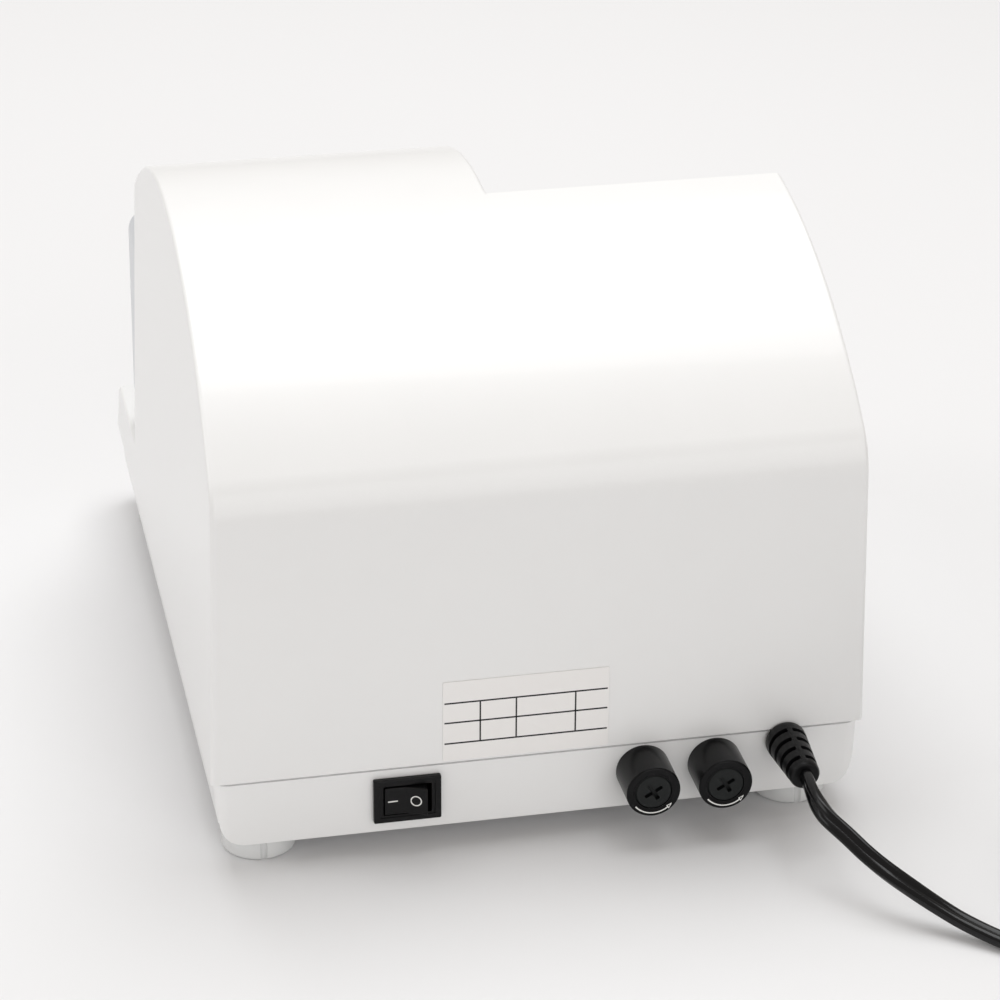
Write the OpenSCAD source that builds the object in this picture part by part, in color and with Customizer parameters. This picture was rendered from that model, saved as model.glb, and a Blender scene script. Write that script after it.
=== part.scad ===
// Bench amalgamator for dental capsules: a two-part moulded case, a mixing chamber
// under a hinged clear lid, and a motor whose slanted hub shakes a capsule fork.
// Millimetres, +Z up, the front faces -Y, the origin is under the case's middle.

/* [Case] */
// Width of the upper shell at the seam
body_w = 205; // [198:1:225]
// Depth from the rear face to the nose
body_d = 264; // [258:1:285]
// Height of the dome's crest above the table
body_h = 176.7; // [172:0.1:185]
// Height of the seam above the table
seam_z = 30.5; // [30:0.5:33]
// Wall thickness of both shells
wall = 2.8; // [2.2:0.1:3.2]
// Inward lean of the upper shell's sides, per mm of height
side_lean = 0.03; // [0:0.01:0.04]
// Distance from the rear face to the crest
crest_back = 118; // [112:1:124]
// Radius of the dome behind its crest
rear_r = 158; // [150:1:170]
// Radius of the dome in front of its crest
front_r = 129; // [120:1:140]
// Radius of the knee at the top of the rear face
knee_r = 20; // [10:1:26]
// Radius of the brow over the front face
brow_r = 8; // [6:1:14]
// Distance from the rear face to the dome's front face, at the nose
dome_d = 205.6; // [200:0.1:212]
// Backward lean of the dome's front face
front_lean = 5.4; // [2:0.1:8]
// Height of the nose's top above the table
nose_z = 49.5; // [46:0.5:53]
// Depth by which the nose's front face leans out towards the seam
nose_slope = 7; // [3:1:9]
// Radius of the nose's top edge
nose_r = 6; // [5:1:9]
// Place of the dome's wall beside the chamber
split_x = -2.5; // [-8:0.5:2]
// Distance from the rear face to the step where the lid starts
step_back = 100; // [96:1:104]

/* [Base] */
// Height of the feet
foot_h = 8; // [6:0.5:10]
// Diameter of a foot
foot_d = 23.2; // [18:0.2:26]
// Inset of the base under the upper shell
base_inset = 0.8; // [0.6:0.1:2]
// Radius of the base's upright corners
base_corner_r = 5; // [4:0.5:8]
// Radius of the base's lower edges at the sides
base_r = 8; // [5:1:11]
// Inward lean of the base's walls, per mm of depth
base_lean = 0.09; // [0.02:0.01:0.12]
// Diameter of a shell screw
shell_screw_d = 4; // [3:0.5:4.5]

/* [Lid] */
// Thickness of the lid's panel
lid_t = 3; // [2:0.1:4]
// Radius of the lid's curve
lid_r = 422; // [380:1:600]
// Gap between the lid and its seat
lid_gap = 0.6; // [0.4:0.1:1.2]
// Depth of the skirt under the lid
skirt_h = 6; // [4:0.5:9]
// Width of the seat round the chamber's mouth
rim_w = 9; // [7:0.5:12]
// Diameter of a hinge pin
pin_d = 4; // [3:0.5:5]

/* [Rear panel] */
// Place of the switch from the middle
switch_x = 42.4; // [36:0.2:50]
// Width of the switch bezel
bezel_w = 21; // [20:0.5:23]
// Height of the switch bezel
bezel_h = 15; // [14:0.5:16]
// Place of the first fuse from the middle
fuse_x = -32; // [-36:0.5:-28]
// Distance between the fuses
fuse_pitch = 22.9; // [20:0.1:24]
// Diameter of a fuse holder
fuse_d = 17; // [15:0.2:18]
// Length of a fuse holder outside the case
fuse_out = 13.6; // [12:0.2:15]
// Place of the cord from the middle
cord_x = -77.3; // [-80:0.1:-74]
// Diameter of the strain relief at the case
boot_d = 12.9; // [11:0.1:14]
// Length of the strain relief
boot_l = 23; // [22:1:26]
// Width of the flat cord
cord_d = 5.6; // [5:0.1:6]

/* [Label] */
// Width of the label
label_w = 51.8; // [40:0.2:60]
// Height of the label
label_h = 27.4; // [20:0.2:30]
// Place of the label's middle
label_x = 5.4; // [0:0.2:10]

/* [Console] */
// Width of the control console
console_w = 92; // [84:1:94]
// Height of the control console along the face
console_h = 78; // [72:1:80]
// Thickness of the control console
console_t = 21; // [18:0.5:24]
// Side of a square key
key_w = 13; // [11:0.5:15]
// Travel of a key
key_travel = 0.8; // [0.4:0.1:1]

/* [Mixer] */
// Distance from the rear face to the motor shaft
shaft_back = 133; // [131:1:136]
// Height of the motor shaft above the table
shaft_z = 80; // [78:1:84]
// Diameter of the motor shaft
shaft_d = 8; // [7:0.5:9]
// Diameter of the motor
motor_d = 58; // [52:1:62]
// Length of the motor
motor_l = 62; // [55:1:66]
// Slant of the hub's sleeve
skew = 6; // [3:0.5:7]
// Reach of the arm from the shaft to the capsule
arm_l = 60; // [56:1:64]
// Diameter of a capsule
capsule_d = 13; // [10:0.5:14]
// Length of a capsule between the fork's jaws
capsule_l = 30; // [26:1:34]
// Travel of the sprung jaw
jaw_travel = 4; // [2:0.5:5]

/* [Hidden] */

// Fine enough for smooth edges in drawings; the curves themselves stay true
$fn = 48;
// Hair past a face, so that cuts go right through
eps = 0.01;
// Radial clearance of a running fit
fit = 0.05;
// Clearance between fixed parts that are set in each other
slack = 0.3;

// Main planes
rear_y = (body_d - fuse_out) / 2;
nose_y = rear_y - body_d;
crest_y = rear_y - crest_back;
step_y = rear_y - step_back;
front_y = rear_y - dome_d;
base_z = foot_h;
floor_z = base_z + wall;
shaft_y = rear_y - shaft_back;

function sum(v) = v * [for (x = v) 1];
function unit(v) = v / norm(v);
function left_of(a, b) = let (d = unit(b - a)) [-d[1], d[0]];

// Points on an arc about c, from angle a0 to a1
function arc(c, r, a0, a1, n) = [for (i = [0:n])
    let (a = a0 + (a1 - a0) * i / n) c + r * [cos(a), sin(a)]];

// Half of the upper shell's width at height z
function half_w(z) = body_w / 2 - side_lean * (z - seam_z);
// The dome's front face at height z
function face_y(z) = front_y + (z - nose_z) * tan(front_lean);
// The outlines run below the seam by this much and are trimmed there
skirt = 6;
low_z = seam_z - skirt;

// Side outline of the dome, in Y and Z, counter-clockwise seen from +X
rear_c = [crest_y, body_h - rear_r];
front_c = [crest_y, body_h - front_r];
knee_dy = rear_y - knee_r - crest_y;
knee_c = [rear_y - knee_r, rear_c[1] + sqrt(pow(rear_r - knee_r, 2) - pow(knee_dy, 2))];
knee_a = atan2(knee_c[1] - rear_c[1], knee_dy);
// Centre of the brow: a point of the face's inner parallel, at brow_r from the front arc
brow_dir = [sin(front_lean), cos(front_lean)];
brow_start = [face_y(nose_z), nose_z] + brow_r * [cos(front_lean), -sin(front_lean)] - front_c;
brow_b = brow_start * brow_dir;
brow_s = -brow_b + sqrt(brow_b * brow_b - brow_start * brow_start + pow(front_r - brow_r, 2));
brow_c = front_c + brow_start + brow_s * brow_dir;
brow_a = atan2(brow_c[1] - front_c[1], brow_c[0] - front_c[0]);
// Height of the step's top edge
step_top = rear_c[1] + sqrt(pow(rear_r, 2) - pow(step_y - crest_y, 2));

// The lid's curve runs from the step down to the nose, and ends this far behind its top edge
lid_back = 11.4;
nose_top_y = nose_y + nose_slope;
lid_a = [step_y - 2.5, step_top - 4];
lid_b = [nose_top_y + lid_back, nose_z + lid_t + lid_gap];
lid_chord = lid_b - lid_a;
lid_up = left_of(lid_b, lid_a);
lid_c = (lid_a + lid_b) / 2 - lid_up * sqrt(lid_r * lid_r - lid_chord * lid_chord / 4);
lid_a0 = atan2(lid_a[1] - lid_c[1], lid_a[0] - lid_c[0]);
lid_a1 = atan2(lid_b[1] - lid_c[1], lid_b[0] - lid_c[0]);
// Height of the lid's curve at a place y, for a radius r
function lid_z(y, r) = lid_c[1] + sqrt(r * r - pow(y - lid_c[0], 2));
seat_r = lid_r - lid_t - lid_gap;

nose_tilt = atan2(nose_slope, nose_z - seam_z);
function nose_front(z) = nose_top_y - (nose_z - z) * tan(nose_tilt);
nose_c = [nose_front(nose_z - nose_r) + nose_r / cos(nose_tilt), nose_z - nose_r];

// Side outlines of the case in Y and Z, moved inward by d. The low one, beside the chamber,
// has the step and the lid's seat, and the high one has the dome. They share the rear, the
// nose and the point where the seat's curve passes the dome's front face.
function yz(c, r, a) = c + r * [cos(a), sin(a)];
function seat_point(d, a) = yz(lid_c, seat_r - d, a);
function seat_angle(p) = atan2(p[1] - lid_c[1], p[0] - lid_c[0]);
function on_seat(y, d) = [y, lid_z(y, seat_r - d)];
function step_edge(d) = let (y = step_y + d)
    [y, rear_c[1] + sqrt(pow(rear_r - d, 2) - pow(y - crest_y, 2))];
function seat_low_end(d) = let (z = nose_z - d)
    [lid_c[0] - sqrt(pow(seat_r - d, 2) - pow(z - lid_c[1], 2)), z];
function face_point(d, z) = [face_y(z) + d / cos(front_lean), z];
function crossing(d) = let (b = tan(front_lean), a = face_point(d, 0)[0] - lid_c[0], q = seat_r - d,
        h = lid_c[1] - a * b, k = 1 + b * b)
    face_point(d, (h + sqrt(h * h - k * (a * a + pow(lid_c[1], 2) - q * q))) / k);
function between(a, b, i, n) = a + (b - a) * i / n;

knee_steps = 6;
rear_steps = 12;
crest_steps = 2;
front_steps = 8;
brow_steps = 4;
seat_steps = crest_steps + front_steps + brow_steps;
low_steps = 5;
nose_steps = 4;
// Index of the crossing in both outlines
cross_i = knee_steps + rear_steps + seat_steps + 2;

function step_angle(d) = let (e = step_edge(d)) atan2(e[1] - rear_c[1], e[0] - crest_y);
function rear_part(d) = concat(
    [[rear_y - d, low_z]],
    arc(knee_c, knee_r - d, 0, knee_a, knee_steps),
    [for (i = [1:rear_steps]) yz(rear_c, rear_r - d, between(knee_a, step_angle(d), i, rear_steps))]);
function nose_part(d) = concat(
    arc(nose_c, nose_r - d, 90, 180 - nose_tilt, nose_steps),
    [[nose_front(low_z) + d / cos(nose_tilt), low_z]]);
function low_outline(d) = let (q = step_edge(d)[0], x = crossing(d), e = seat_low_end(d),
        a = [seat_angle(on_seat(q, d)), seat_angle(x), seat_angle(e)]) concat(
    rear_part(d),
    [for (i = [0:seat_steps - 1]) seat_point(d, between(a[0], a[1], i, seat_steps))],
    [x],
    [for (i = [1:low_steps - 1]) seat_point(d, between(a[1], a[2], i, low_steps))],
    [e],
    nose_part(d));
function high_outline(d) = let (x = crossing(d), e = seat_low_end(d), foot = face_point(d, nose_z - d))
    concat(
    rear_part(d),
    [for (i = [1:crest_steps]) yz(rear_c, rear_r - d, between(step_angle(d), 90, i, crest_steps))],
    [for (i = [1:front_steps]) yz(front_c, front_r - d, between(90, brow_a, i, front_steps))],
    [for (i = [1:brow_steps]) yz(brow_c, brow_r - d, between(brow_a, 180 - front_lean, i, brow_steps))],
    [x],
    [for (i = [1:low_steps - 1]) between(x, foot, i, low_steps - 1)],
    [e],
    nose_part(d));

// The case as one solid, moved inward by d: the chamber's side and the dome's side meet
// within gap of split_x, and both side walls lean inward
module case_form(d, gap) {
    low = low_outline(d);
    high = high_outline(d);
    shared = [for (i = [0:len(low) - 1]) i < cross_i ? low[i] : high[i]];
    intersection() {
        union() {
            along_x(-body_w, split_x - gap) polygon(low);
            if (gap > 0) along_x(split_x - gap, split_x + gap) polygon(shared);
            along_x(split_x + gap, body_w) polygon(high);
        }
        along_y(-body_d, body_d) polygon([for (p = [[-1, 0], [1, 0], [1, 1], [-1, 1]])
            let (z = p[1] * (body_h + 1)) [p[0] * (half_w(z) - d), z]]);
    }
}

// Rounded rectangle about the middle, from true arcs
module rounded(w, h, r) {
    square([w - 2 * r, h], center = true);
    square([w, h - 2 * r], center = true);
    for (sx = [-1, 1], sy = [-1, 1])
        translate([sx * (w / 2 - r), sy * (h / 2 - r)]) circle(r);
}
// Bar of any section between two places along X
module along_x(x0, x1) {
    translate([x0, 0, 0]) rotate([90, 0, 90]) linear_extrude(x1 - x0) children();
}
// Bar of any section between two places along Y, drawn in X and Z
module along_y(y0, y1) {
    translate([0, y1, 0]) rotate([90, 0, 0]) linear_extrude(y1 - y0) children();
}
// A round piece drawn along Z is turned to the rear or to the right from its place
module to_rear(x, y, z) {
    translate([x, y, z]) rotate([-90, 0, 0]) children();
}
module to_right(x, y, z) {
    translate([x, y, z]) rotate([0, 90, 0]) children();
}
// A square-cornered bar from one corner to the other
module block(a, b) {
    translate(a) cube(b - a);
}

// Shell screws stand beside the side walls behind, and behind the nose in front
screw_in = 13;
rear_screw_y = rear_y - 42;
front_screw_x = 60;
screw_places = [for (sx = [-1, 1])
    each [[sx * (body_w / 2 - base_inset - screw_in), rear_screw_y],
        [sx * front_screw_x, nose_y + base_inset + nose_slope + screw_in]]];
boss_r = shell_screw_d / 2 + 2.6;
// Feet sit close to the corners, a little further to the operator's right
foot_in = 15;
foot_side_in = 17.5;
foot_shift = 1.5;
foot_places = [for (sx = [-1, 1], y = [rear_y - foot_in, nose_y + nose_slope + foot_in])
    [sx * (body_w / 2 - foot_side_in) + foot_shift, y]];

// Upper shell

// Mouth of the mixing chamber
mouth_x0 = -half_w(body_h) + rim_w;
mouth_x1 = split_x - rim_w;
mouth_y0 = lid_b[0] + rim_w + 4;
mouth_a = atan2(lid_z(mouth_y0, seat_r) - lid_c[1], mouth_y0 - lid_c[0]);
console_v = 4;
console_x = half_w(nose_z + console_v + console_h) - console_w / 2;
// Places on the dome's front face: X across, Y up the face, Z outward
module on_front() {
    translate([0, front_y, nose_z]) rotate([90 - front_lean, 0, 0]) children();
}
boot_z = 26.5;
boot_neck_d = boot_d - 2.6;
notch_r = boot_neck_d / 2 + slack;
// Opening of the shell behind the console
bay_w = console_w - 12;
bay_h = console_h - 12;

module upper_housing() color("white") {
    difference() {
        case_form(0, 0);
        case_form(wall, wall);
        block([-body_w, -body_d, low_z - 1], [body_w, body_d, seam_z]);
        // mouth of the mixing chamber, its front edge square to the lid's curve
        intersection() {
            along_x(mouth_x0, mouth_x1)
                polygon(band(seat_r - wall - 2, lid_r + 40, lid_a0 - 9, mouth_a));
            block([-body_w, -body_d, 0], [0, step_y, 2 * body_h]);
        }
        // bay for the console's board
        on_console() translate([0, 0, -wall - 3])
            linear_extrude(wall + 6) rounded(bay_w, bay_h, 4);
        // half-round notch for the strain relief
        to_rear(cord_x, rear_y - wall - 2, boot_z) cylinder(h = wall + 4, r = notch_r);
        block([cord_x - notch_r, rear_y - wall - 2, seam_z - 2], [cord_x + notch_r, rear_y + 2, boot_z + 4]);
    }
    // pillars for the shell screws
    for (p = screw_places) translate([p[0], p[1], seam_z + 0.5]) difference() {
        union() {
            cylinder(h = pillar_h, r = boss_r);
            // web from the pillar to the nearest wall, clear of the base's lip
            rotate(p[1] > 0 ? (p[0] > 0 ? 0 : 180) : -90)
                block([0, -web_t / 2, web_up], [p[1] > 0 ? reach_x : reach_y, web_t / 2, pillar_h]);
        }
        translate([0, 0, -eps]) cylinder(h = pillar_h - 4, r = shell_screw_d / 2 - 0.3);
    }
}
pillar_h = 12;
// The pillars' webs reach into the case's walls
reach_x = screw_in + base_inset - wall / 2;
reach_y = screw_in + base_inset + nose_slope / 2;
web_t = 2;
web_up = 2.2;
bush_hole_r = 11;

// Base

// Outline of the base in plan, at the seam
module base_plan(in) {
    d = 2 * (base_inset + in);
    translate([0, (rear_y + nose_y) / 2]) rounded(body_w - d, body_d - d, base_corner_r - in / 2);
}
// Front outline of the base: leaning sides and round lower corners
module base_front(in) {
    h = seam_z - base_z;
    w0 = body_w / 2 - base_inset - in;
    w1 = w0 - base_lean * h;
    r = base_r - in / 2;
    translate([0, base_z + in]) {
        polygon([
            [-w0, h - in], [-w1 - base_lean * r, r], [-w1 + r, r - 1],
            [w1 - r, r - 1], [w1 + base_lean * r, r], [w0, h - in]]);
        translate([-w1 + r - 1, 0]) square([2 * (w1 - r + 1), r]);
        for (s = [-1, 1]) translate([s * (w1 - r + base_lean * r / 2), r]) circle(r);
    }
}
vent_w = 2.4;
lip_h = 5;
// Step from the wall's inner side to the lip, wider than the nose's lean
lip_gap = 0.8;
lip_t = 1.6;
lip_foot = 3;
post_r = 6;
// A ring on top of the base's wall, between two insets from the wall's inner side
module lip(h, in0, in1) {
    translate([0, 0, seam_z - lip_foot]) linear_extrude(h) difference() {
        base_plan(wall + in0);
        base_plan(wall + in1);
        translate([lip_cut_x0, rear_y - 12]) square([lip_cut_x1 - lip_cut_x0, 20]);
    }
}
// A post from inside the floor up to height top
module post(p, top, r) {
    translate([p[0], p[1], base_z + 1]) cylinder(h = top - base_z - 1, r = r);
}
module base_pan() color("whitesmoke") difference() {
    union() {
        difference() {
            intersection() {
                translate([0, 0, base_z]) linear_extrude(seam_z - base_z) base_plan(0);
                along_y(nose_y, rear_y) base_front(0);
            }
            intersection() {
                translate([0, 0, floor_z]) linear_extrude(seam_z) base_plan(wall);
                along_y(nose_y, rear_y) {
                    base_front(wall);
                    translate([0, seam_z + 10 - eps])
                        square([body_w - 2 * (base_inset + wall), 20 + 2 * eps], center = true);
                }
            }
        }
        // lip that stands up inside the upper shell, and its foot on the wall
        lip(lip_h, lip_gap, lip_gap + lip_t);
        lip(lip_foot - 0.1, -0.5, lip_gap + 0.5);
        for (p = screw_places) post(p, seam_z, boss_r);
        for (p = foot_places) post(p, floor_z + 4, post_r);
        // posts under the chassis and the power board
        for (p = isolator_places) post(p, floor_z + post_h, post_r);
        for (p = board_places) post(p, board_z, 3.5);
        // cradle under the strain relief
        block([cord_x - 9, panel_y - wall - 9, base_z + 1], [cord_x + 9, panel_y - wall + 1, boot_z]);
    }
    for (p = screw_places) translate([p[0], p[1], base_z - 1]) {
        cylinder(h = seam_z, r = shell_screw_d / 2 + hole_gap);
        cylinder(h = 1 + screw_sink, r = screw_head_r + slack);
    }
    for (p = foot_places) translate([p[0], p[1], base_z - 1]) cylinder(h = 20, r = foot_screw_r - hole_gap);
    for (p = isolator_places) translate([p[0], p[1], floor_z + post_h - 8]) cylinder(h = 10, r = 1.7);
    // cut-outs of the rear wall
    to_rear(switch_x, panel_y - wall - 1, panel_z) linear_extrude(wall + 3)
        square([bezel_w - 2 + 2 * hole_gap, bezel_h - 2 + 2 * hole_gap], center = true);
    for (x = fuse_places)
        to_rear(x, panel_y - wall - 1, fuse_z) cylinder(h = wall + 3, r = fuse_neck_r + 0.1);
    to_rear(cord_x, rear_y - 40, boot_z) cylinder(h = 60, r = notch_r);
    // slot that holds the strain relief's collar
    block([cord_x - 10, panel_y - wall - 5, boot_z - boot_collar_r - 0.5 - slack],
        [cord_x + 10, panel_y - wall - 5 + boot_flange_t + 2 * slack, boot_z + 30]);
    // cooling slots in the floor
    for (i = [-6:6]) translate([40 + i * 2.4 * vent_w, -20, base_z + wall / 2])
        cube([vent_w, 44, wall + 2], center = true);
}
// The lip is left out over the strain relief and the fuse nuts
lip_cut_x0 = cord_x - boot_d / 2 - 4;
lip_cut_x1 = fuse_x + 10;
panel_z = 19.3;
fuse_z = 20.5;
fuse_places = [fuse_x, fuse_x - fuse_pitch];
fuse_neck_r = 6;
screw_sink = 8;
screw_head_r = 3.5;
foot_screw_r = 1.8;
// Radial gap or bite between a screw or a snap-in case and its hole
hole_gap = 0.15;

// A foot is a soft disc with a groove down its side and a sunk screw
module feet() color([0.85, 0.86, 0.86]) for (p = foot_places) translate([p[0], p[1], 0]) difference() {
    rotate_extrude() polygon([
        [0, 0], [foot_d / 2 - 1.2, 0], [foot_d / 2, 1.2], [foot_d / 2 - 0.4, foot_h], [0, foot_h]]);
    translate([0, 0, -1]) cylinder(h = foot_h - foot_web + 1, r = foot_sink_r);
    translate([0, 0, -1]) cylinder(h = foot_h + 2, r = foot_screw_r + hole_gap);
    translate([0, sign(p[1]) * foot_d / 2, -1]) cylinder(h = foot_h + 2, r = 1.1);
}
foot_sink_r = 5;
// Thickness that a foot's screw clamps
foot_web = 3;
module foot_screws() color("silver") for (p = foot_places)
    translate([p[0], p[1], foot_h - foot_web]) difference() {
    union() {
        translate([0, 0, -2.4]) cylinder(h = 2.4, r = foot_sink_r - 1);
        cylinder(h = 12, r = foot_screw_r - 0.2);
    }
    for (a = [0, 90]) rotate(a) translate([-2, -0.4, -2.5]) cube([4, 0.8, 1.4]);
}
module shell_screws() color("silver") for (p = screw_places)
    translate([p[0], p[1], base_z + screw_sink]) difference() {
    union() {
        translate([0, 0, -2.6]) cylinder(h = 2.6, r = screw_head_r);
        cylinder(h = seam_z - base_z - screw_sink + 8, r = shell_screw_d / 2 - 0.4);
    }
    for (a = [0, 90]) rotate(a) translate([-2, -0.4, -2.7]) cube([4, 0.8, 1.6]);
}
module rating_label() color("whitesmoke")
    translate([label_x, rear_y + 0.3, seam_z + 0.7 + label_h / 2]) rotate([90, 0, 0])
        linear_extrude(0.25) rounded(label_w, label_h, 1.5);

// Mains switch: a snap-in case with a see-saw rocker on cross pins
panel_y = rear_y - base_inset;
bezel_t = 2;
well_w = 15;
well_h = 10.2;
rock_y = panel_y + bezel_t - 2.4;
rock_pin_r = 1.2;
rock_tilt = 11;
module switch_body() color([0.1, 0.1, 0.1]) translate([switch_x, 0, panel_z]) difference() {
    union() {
        to_rear(0, panel_y, 0) linear_extrude(bezel_t) rounded(bezel_w, bezel_h, 0.8);
        to_rear(0, panel_y - 15, 0) linear_extrude(15 + eps)
            square([bezel_w - 2, bezel_h - 2], center = true);
        for (x = [-5, 0, 5]) translate([x, panel_y - 19, 0]) cube([0.8, 10, 4.8], center = true);
    }
    to_rear(0, panel_y - 8, 0) linear_extrude(20) square([well_w, well_h], center = true);
    translate([0, rock_y, 0]) cylinder(h = well_h + 1.4, r = rock_pin_r + fit, center = true);
}
module rocker() color([0.12, 0.12, 0.12]) translate([switch_x, rock_y, panel_z]) rotate(-rock_tilt) {
    linear_extrude(well_h - 0.8, center = true)
        polygon([[-5.6, -3], [5.6, -3], [6.6, 3.9], [0, 2.6], [-6.6, 3.9]]);
    cylinder(h = well_h + 1.2, r = rock_pin_r, center = true);
}

// Fuse holders: a round shroud with a neck through the panel, held by a nut
fuse_front = rear_y + fuse_out;
shroud_l = fuse_front - panel_y;
carrier_r = 5.75;
sleeve_r = 4.6;
carrier_l = 22;
disc_t = 4;
link_r = 2.6;
link_l = 20;
link_cap = 5.2;
// Depth of the link's seat in the carrier
link_in = 15;
module fuse_body(x) color([0.1, 0.1, 0.1]) translate([x, 0, fuse_z]) difference() {
    union() {
        to_rear(0, panel_y, 0) rotate_extrude() polygon([
            [0, 0], [fuse_d / 2, 0], [fuse_d / 2, shroud_l - 0.6], [fuse_d / 2 - 0.6, shroud_l],
            [0, shroud_l]]);
        to_rear(0, panel_y - 18, 0) cylinder(h = 18 + eps, r = fuse_neck_r);
        for (s = [-1, 1]) translate([s * 3.4, panel_y - 21, 0]) cube([0.8, 8, 4], center = true);
    }
    to_rear(0, fuse_front - disc_t - 0.3, 0) cylinder(h = disc_t + 1, r = carrier_r + fit);
    to_rear(0, fuse_front - carrier_l - 8, 0) cylinder(h = carrier_l + 8, r = sleeve_r + fit);
}
module fuse_body_a() fuse_body(fuse_places[0]);
module fuse_body_b() fuse_body(fuse_places[1]);
module fuse_nuts() color("dimgray") for (x = fuse_places)
    translate([x, panel_y - wall - 0.1, fuse_z]) rotate([90, 0, 0]) difference() {
    cylinder(h = 3, r = 9, $fn = 6);
    translate([0, 0, -1]) cylinder(h = 5, r = fuse_neck_r + fit);
}
module fuse_carrier(x) color([0.14, 0.15, 0.15])
    translate([x, fuse_front - 0.2, fuse_z]) rotate([90, 0, 0]) difference() {
    union() {
        cylinder(h = disc_t, r = carrier_r);
        cylinder(h = carrier_l, r = sleeve_r);
    }
    translate([0, 0, carrier_l - link_in]) cylinder(h = 20, r = link_r + fit);
    for (a = [60, 150]) rotate(a) translate([-3.4, -0.8, -1]) cube([6.8, 1.6, 2.6]);
}
module fuse_carrier_a() fuse_carrier(fuse_places[0]);
module fuse_carrier_b() fuse_carrier(fuse_places[1]);
module fuse_link(x) color("silver")
    translate([x, fuse_front - carrier_l + link_in - 0.4, fuse_z]) rotate([90, 0, 0]) {
    cylinder(h = link_l, r = link_r - 0.2);
    for (z = [0, link_l - link_cap]) translate([0, 0, z]) cylinder(h = link_cap, r = link_r);
}
module fuse_link_a() fuse_link(fuse_places[0]);
module fuse_link_b() fuse_link(fuse_places[1]);

// Strain relief: a tapered sleeve cut by slots on both sides of a middle web
boot_end_d = 9.4;
boot_flange_t = 2;
boot_collar_r = boot_d / 2 + 1;
sleeve_l = boot_l - slack;
boot_slots = 4;
boot_slot_w = 1.8;
boot_web = 1.6;
// Slots are spread between the first one's place and the closed tip
boot_slot_y = 5;
boot_tip = 3.6;
boot_slot_pitch = (boot_l - boot_slot_y - boot_tip) / (boot_slots - 1);
module cord_boot() color([0.1, 0.1, 0.1]) translate([cord_x, 0, boot_z]) {
    difference() {
        to_rear(0, rear_y + slack, 0) rotate_extrude() polygon([
            [0, 0], [boot_d / 2, 0], [boot_d / 2, 2.5], [boot_end_d / 2, sleeve_l - 1],
            [boot_end_d / 2 - 0.8, sleeve_l], [0, sleeve_l]]);
        for (i = [0:boot_slots - 1], s = [-1, 1])
            translate([s * (boot_web + boot_d) / 2, rear_y + boot_slot_y + i * boot_slot_pitch, 0])
                cube([boot_d, boot_slot_w, boot_d + 2], center = true);
    }
    to_rear(0, panel_y - wall - 6, 0) cylinder(h = base_inset + slack + wall + 6 + eps, d = boot_neck_d);
    to_rear(0, panel_y - wall - 5 + slack, 0) cylinder(h = boot_flange_t, r = boot_collar_r);
}

// Mixing chamber

tub_t = 2;
tub_x0 = mouth_x0 - 1.5;
tub_x1 = split_x - wall - slack;
tub_y0 = mouth_y0 - 1.5;
tub_y1 = step_y - slack;
tub_floor = shaft_z - 44;
tub_r = seat_r - wall - slack;
function tub_side(in, top) = concat(
    [[tub_y1 - in, tub_floor + in], [tub_y1 - in, lid_z(tub_y1, tub_r) + top]],
    [for (i = [1:9]) let (y = tub_y1 - in + (tub_y0 + in - tub_y1 + in) * i / 10) [y, lid_z(y, tub_r) + top]],
    [[tub_y0 + in, lid_z(tub_y0, tub_r) + top], [tub_y0 + in, tub_floor + in]]);
module chamber_tub() color([0.75, 0.77, 0.79]) difference() {
    along_x(tub_x0, tub_x1) polygon(tub_side(0, 0));
    along_x(tub_x0 + tub_t, tub_x1 - tub_t) polygon(tub_side(tub_t, 5));
    to_right(tub_x1 - tub_t - 1, shaft_y, shaft_z) cylinder(h = tub_t + 2, r = bush_hole_r);
    // room for the hinge brackets behind the mouth
    for (x = bracket_places)
        block([x - 8, step_y - 1 - tub_t, hinge_z - 11], [x + 8, step_y + 1, hinge_z + 29]);
}

// Hinge: brackets on the step, pins, and knuckles under the lid
hinge_y = step_y - 6;
hinge_z = lid_z(hinge_y, lid_r) - 1;
knuckle_r = pin_d / 2 + 1.5;
mouth_mid = (mouth_x0 + mouth_x1) / 2;
bracket_places = [mouth_x0 + 10, mouth_x1 - 10];
ear_t = 2.5;
knuckle_l = 9;
// Both hinges, from the middle of each one's pin: the second is the first one's mirror image
module at_hinges() {
    for (i = [0, 1]) translate([bracket_places[i], hinge_y, hinge_z]) mirror([i, 0, 0]) children();
}
// Distance from the rear step to the pin, and the outer end of an ear
pin_back = step_y - hinge_y;
ear_x = -5 - ear_t;
module hinge_brackets() color("silver") at_hinges() difference() {
    union() {
        to_right(ear_x, 0, 0) cylinder(h = ear_t, r = knuckle_r);
        block([ear_x, 0, -knuckle_r], [ear_x + ear_t, pin_back - 0.1, knuckle_r - 1]);
        block([ear_x, pin_back - 1.6, -10], [ear_x + 14, pin_back - 0.1, knuckle_r - 1]);
    }
    to_right(ear_x - 1, 0, 0) cylinder(h = ear_t + 2, r = pin_d / 2);
}
module hinge_pins() color("lightgray") at_hinges()
    to_right(ear_x, 0, 0) cylinder(h = ear_t + knuckle_l, r = pin_d / 2 - 0.01);

// Lid: a curved clear panel with a skirt, a front tab and two knuckles
lid_edge = 0.8;
skirt_gap = 1.2;
skirt_t = 2;
// The skirt's rear end, its front gap and its thickness, as angles on the lid's curve
skirt_back = 2.4;
// The lid ends just behind the pivot, so that its rear edge clears the seat as it turns
lid_rear_a = atan2(hinge_z - lid_c[1], hinge_y - lid_c[0]) - 1.3 / lid_r * 180 / PI;
skirt_a = skirt_gap / lid_r * 180 / PI;
skirt_ta = skirt_t / lid_r * 180 / PI;
function band(r0, r1, a0, a1) = concat(arc(lid_c, r1, a0, a1, 16), arc(lid_c, r0, a1, a0, 16));
tab_w = 34;
tab_z = nose_z + lid_gap;
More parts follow.
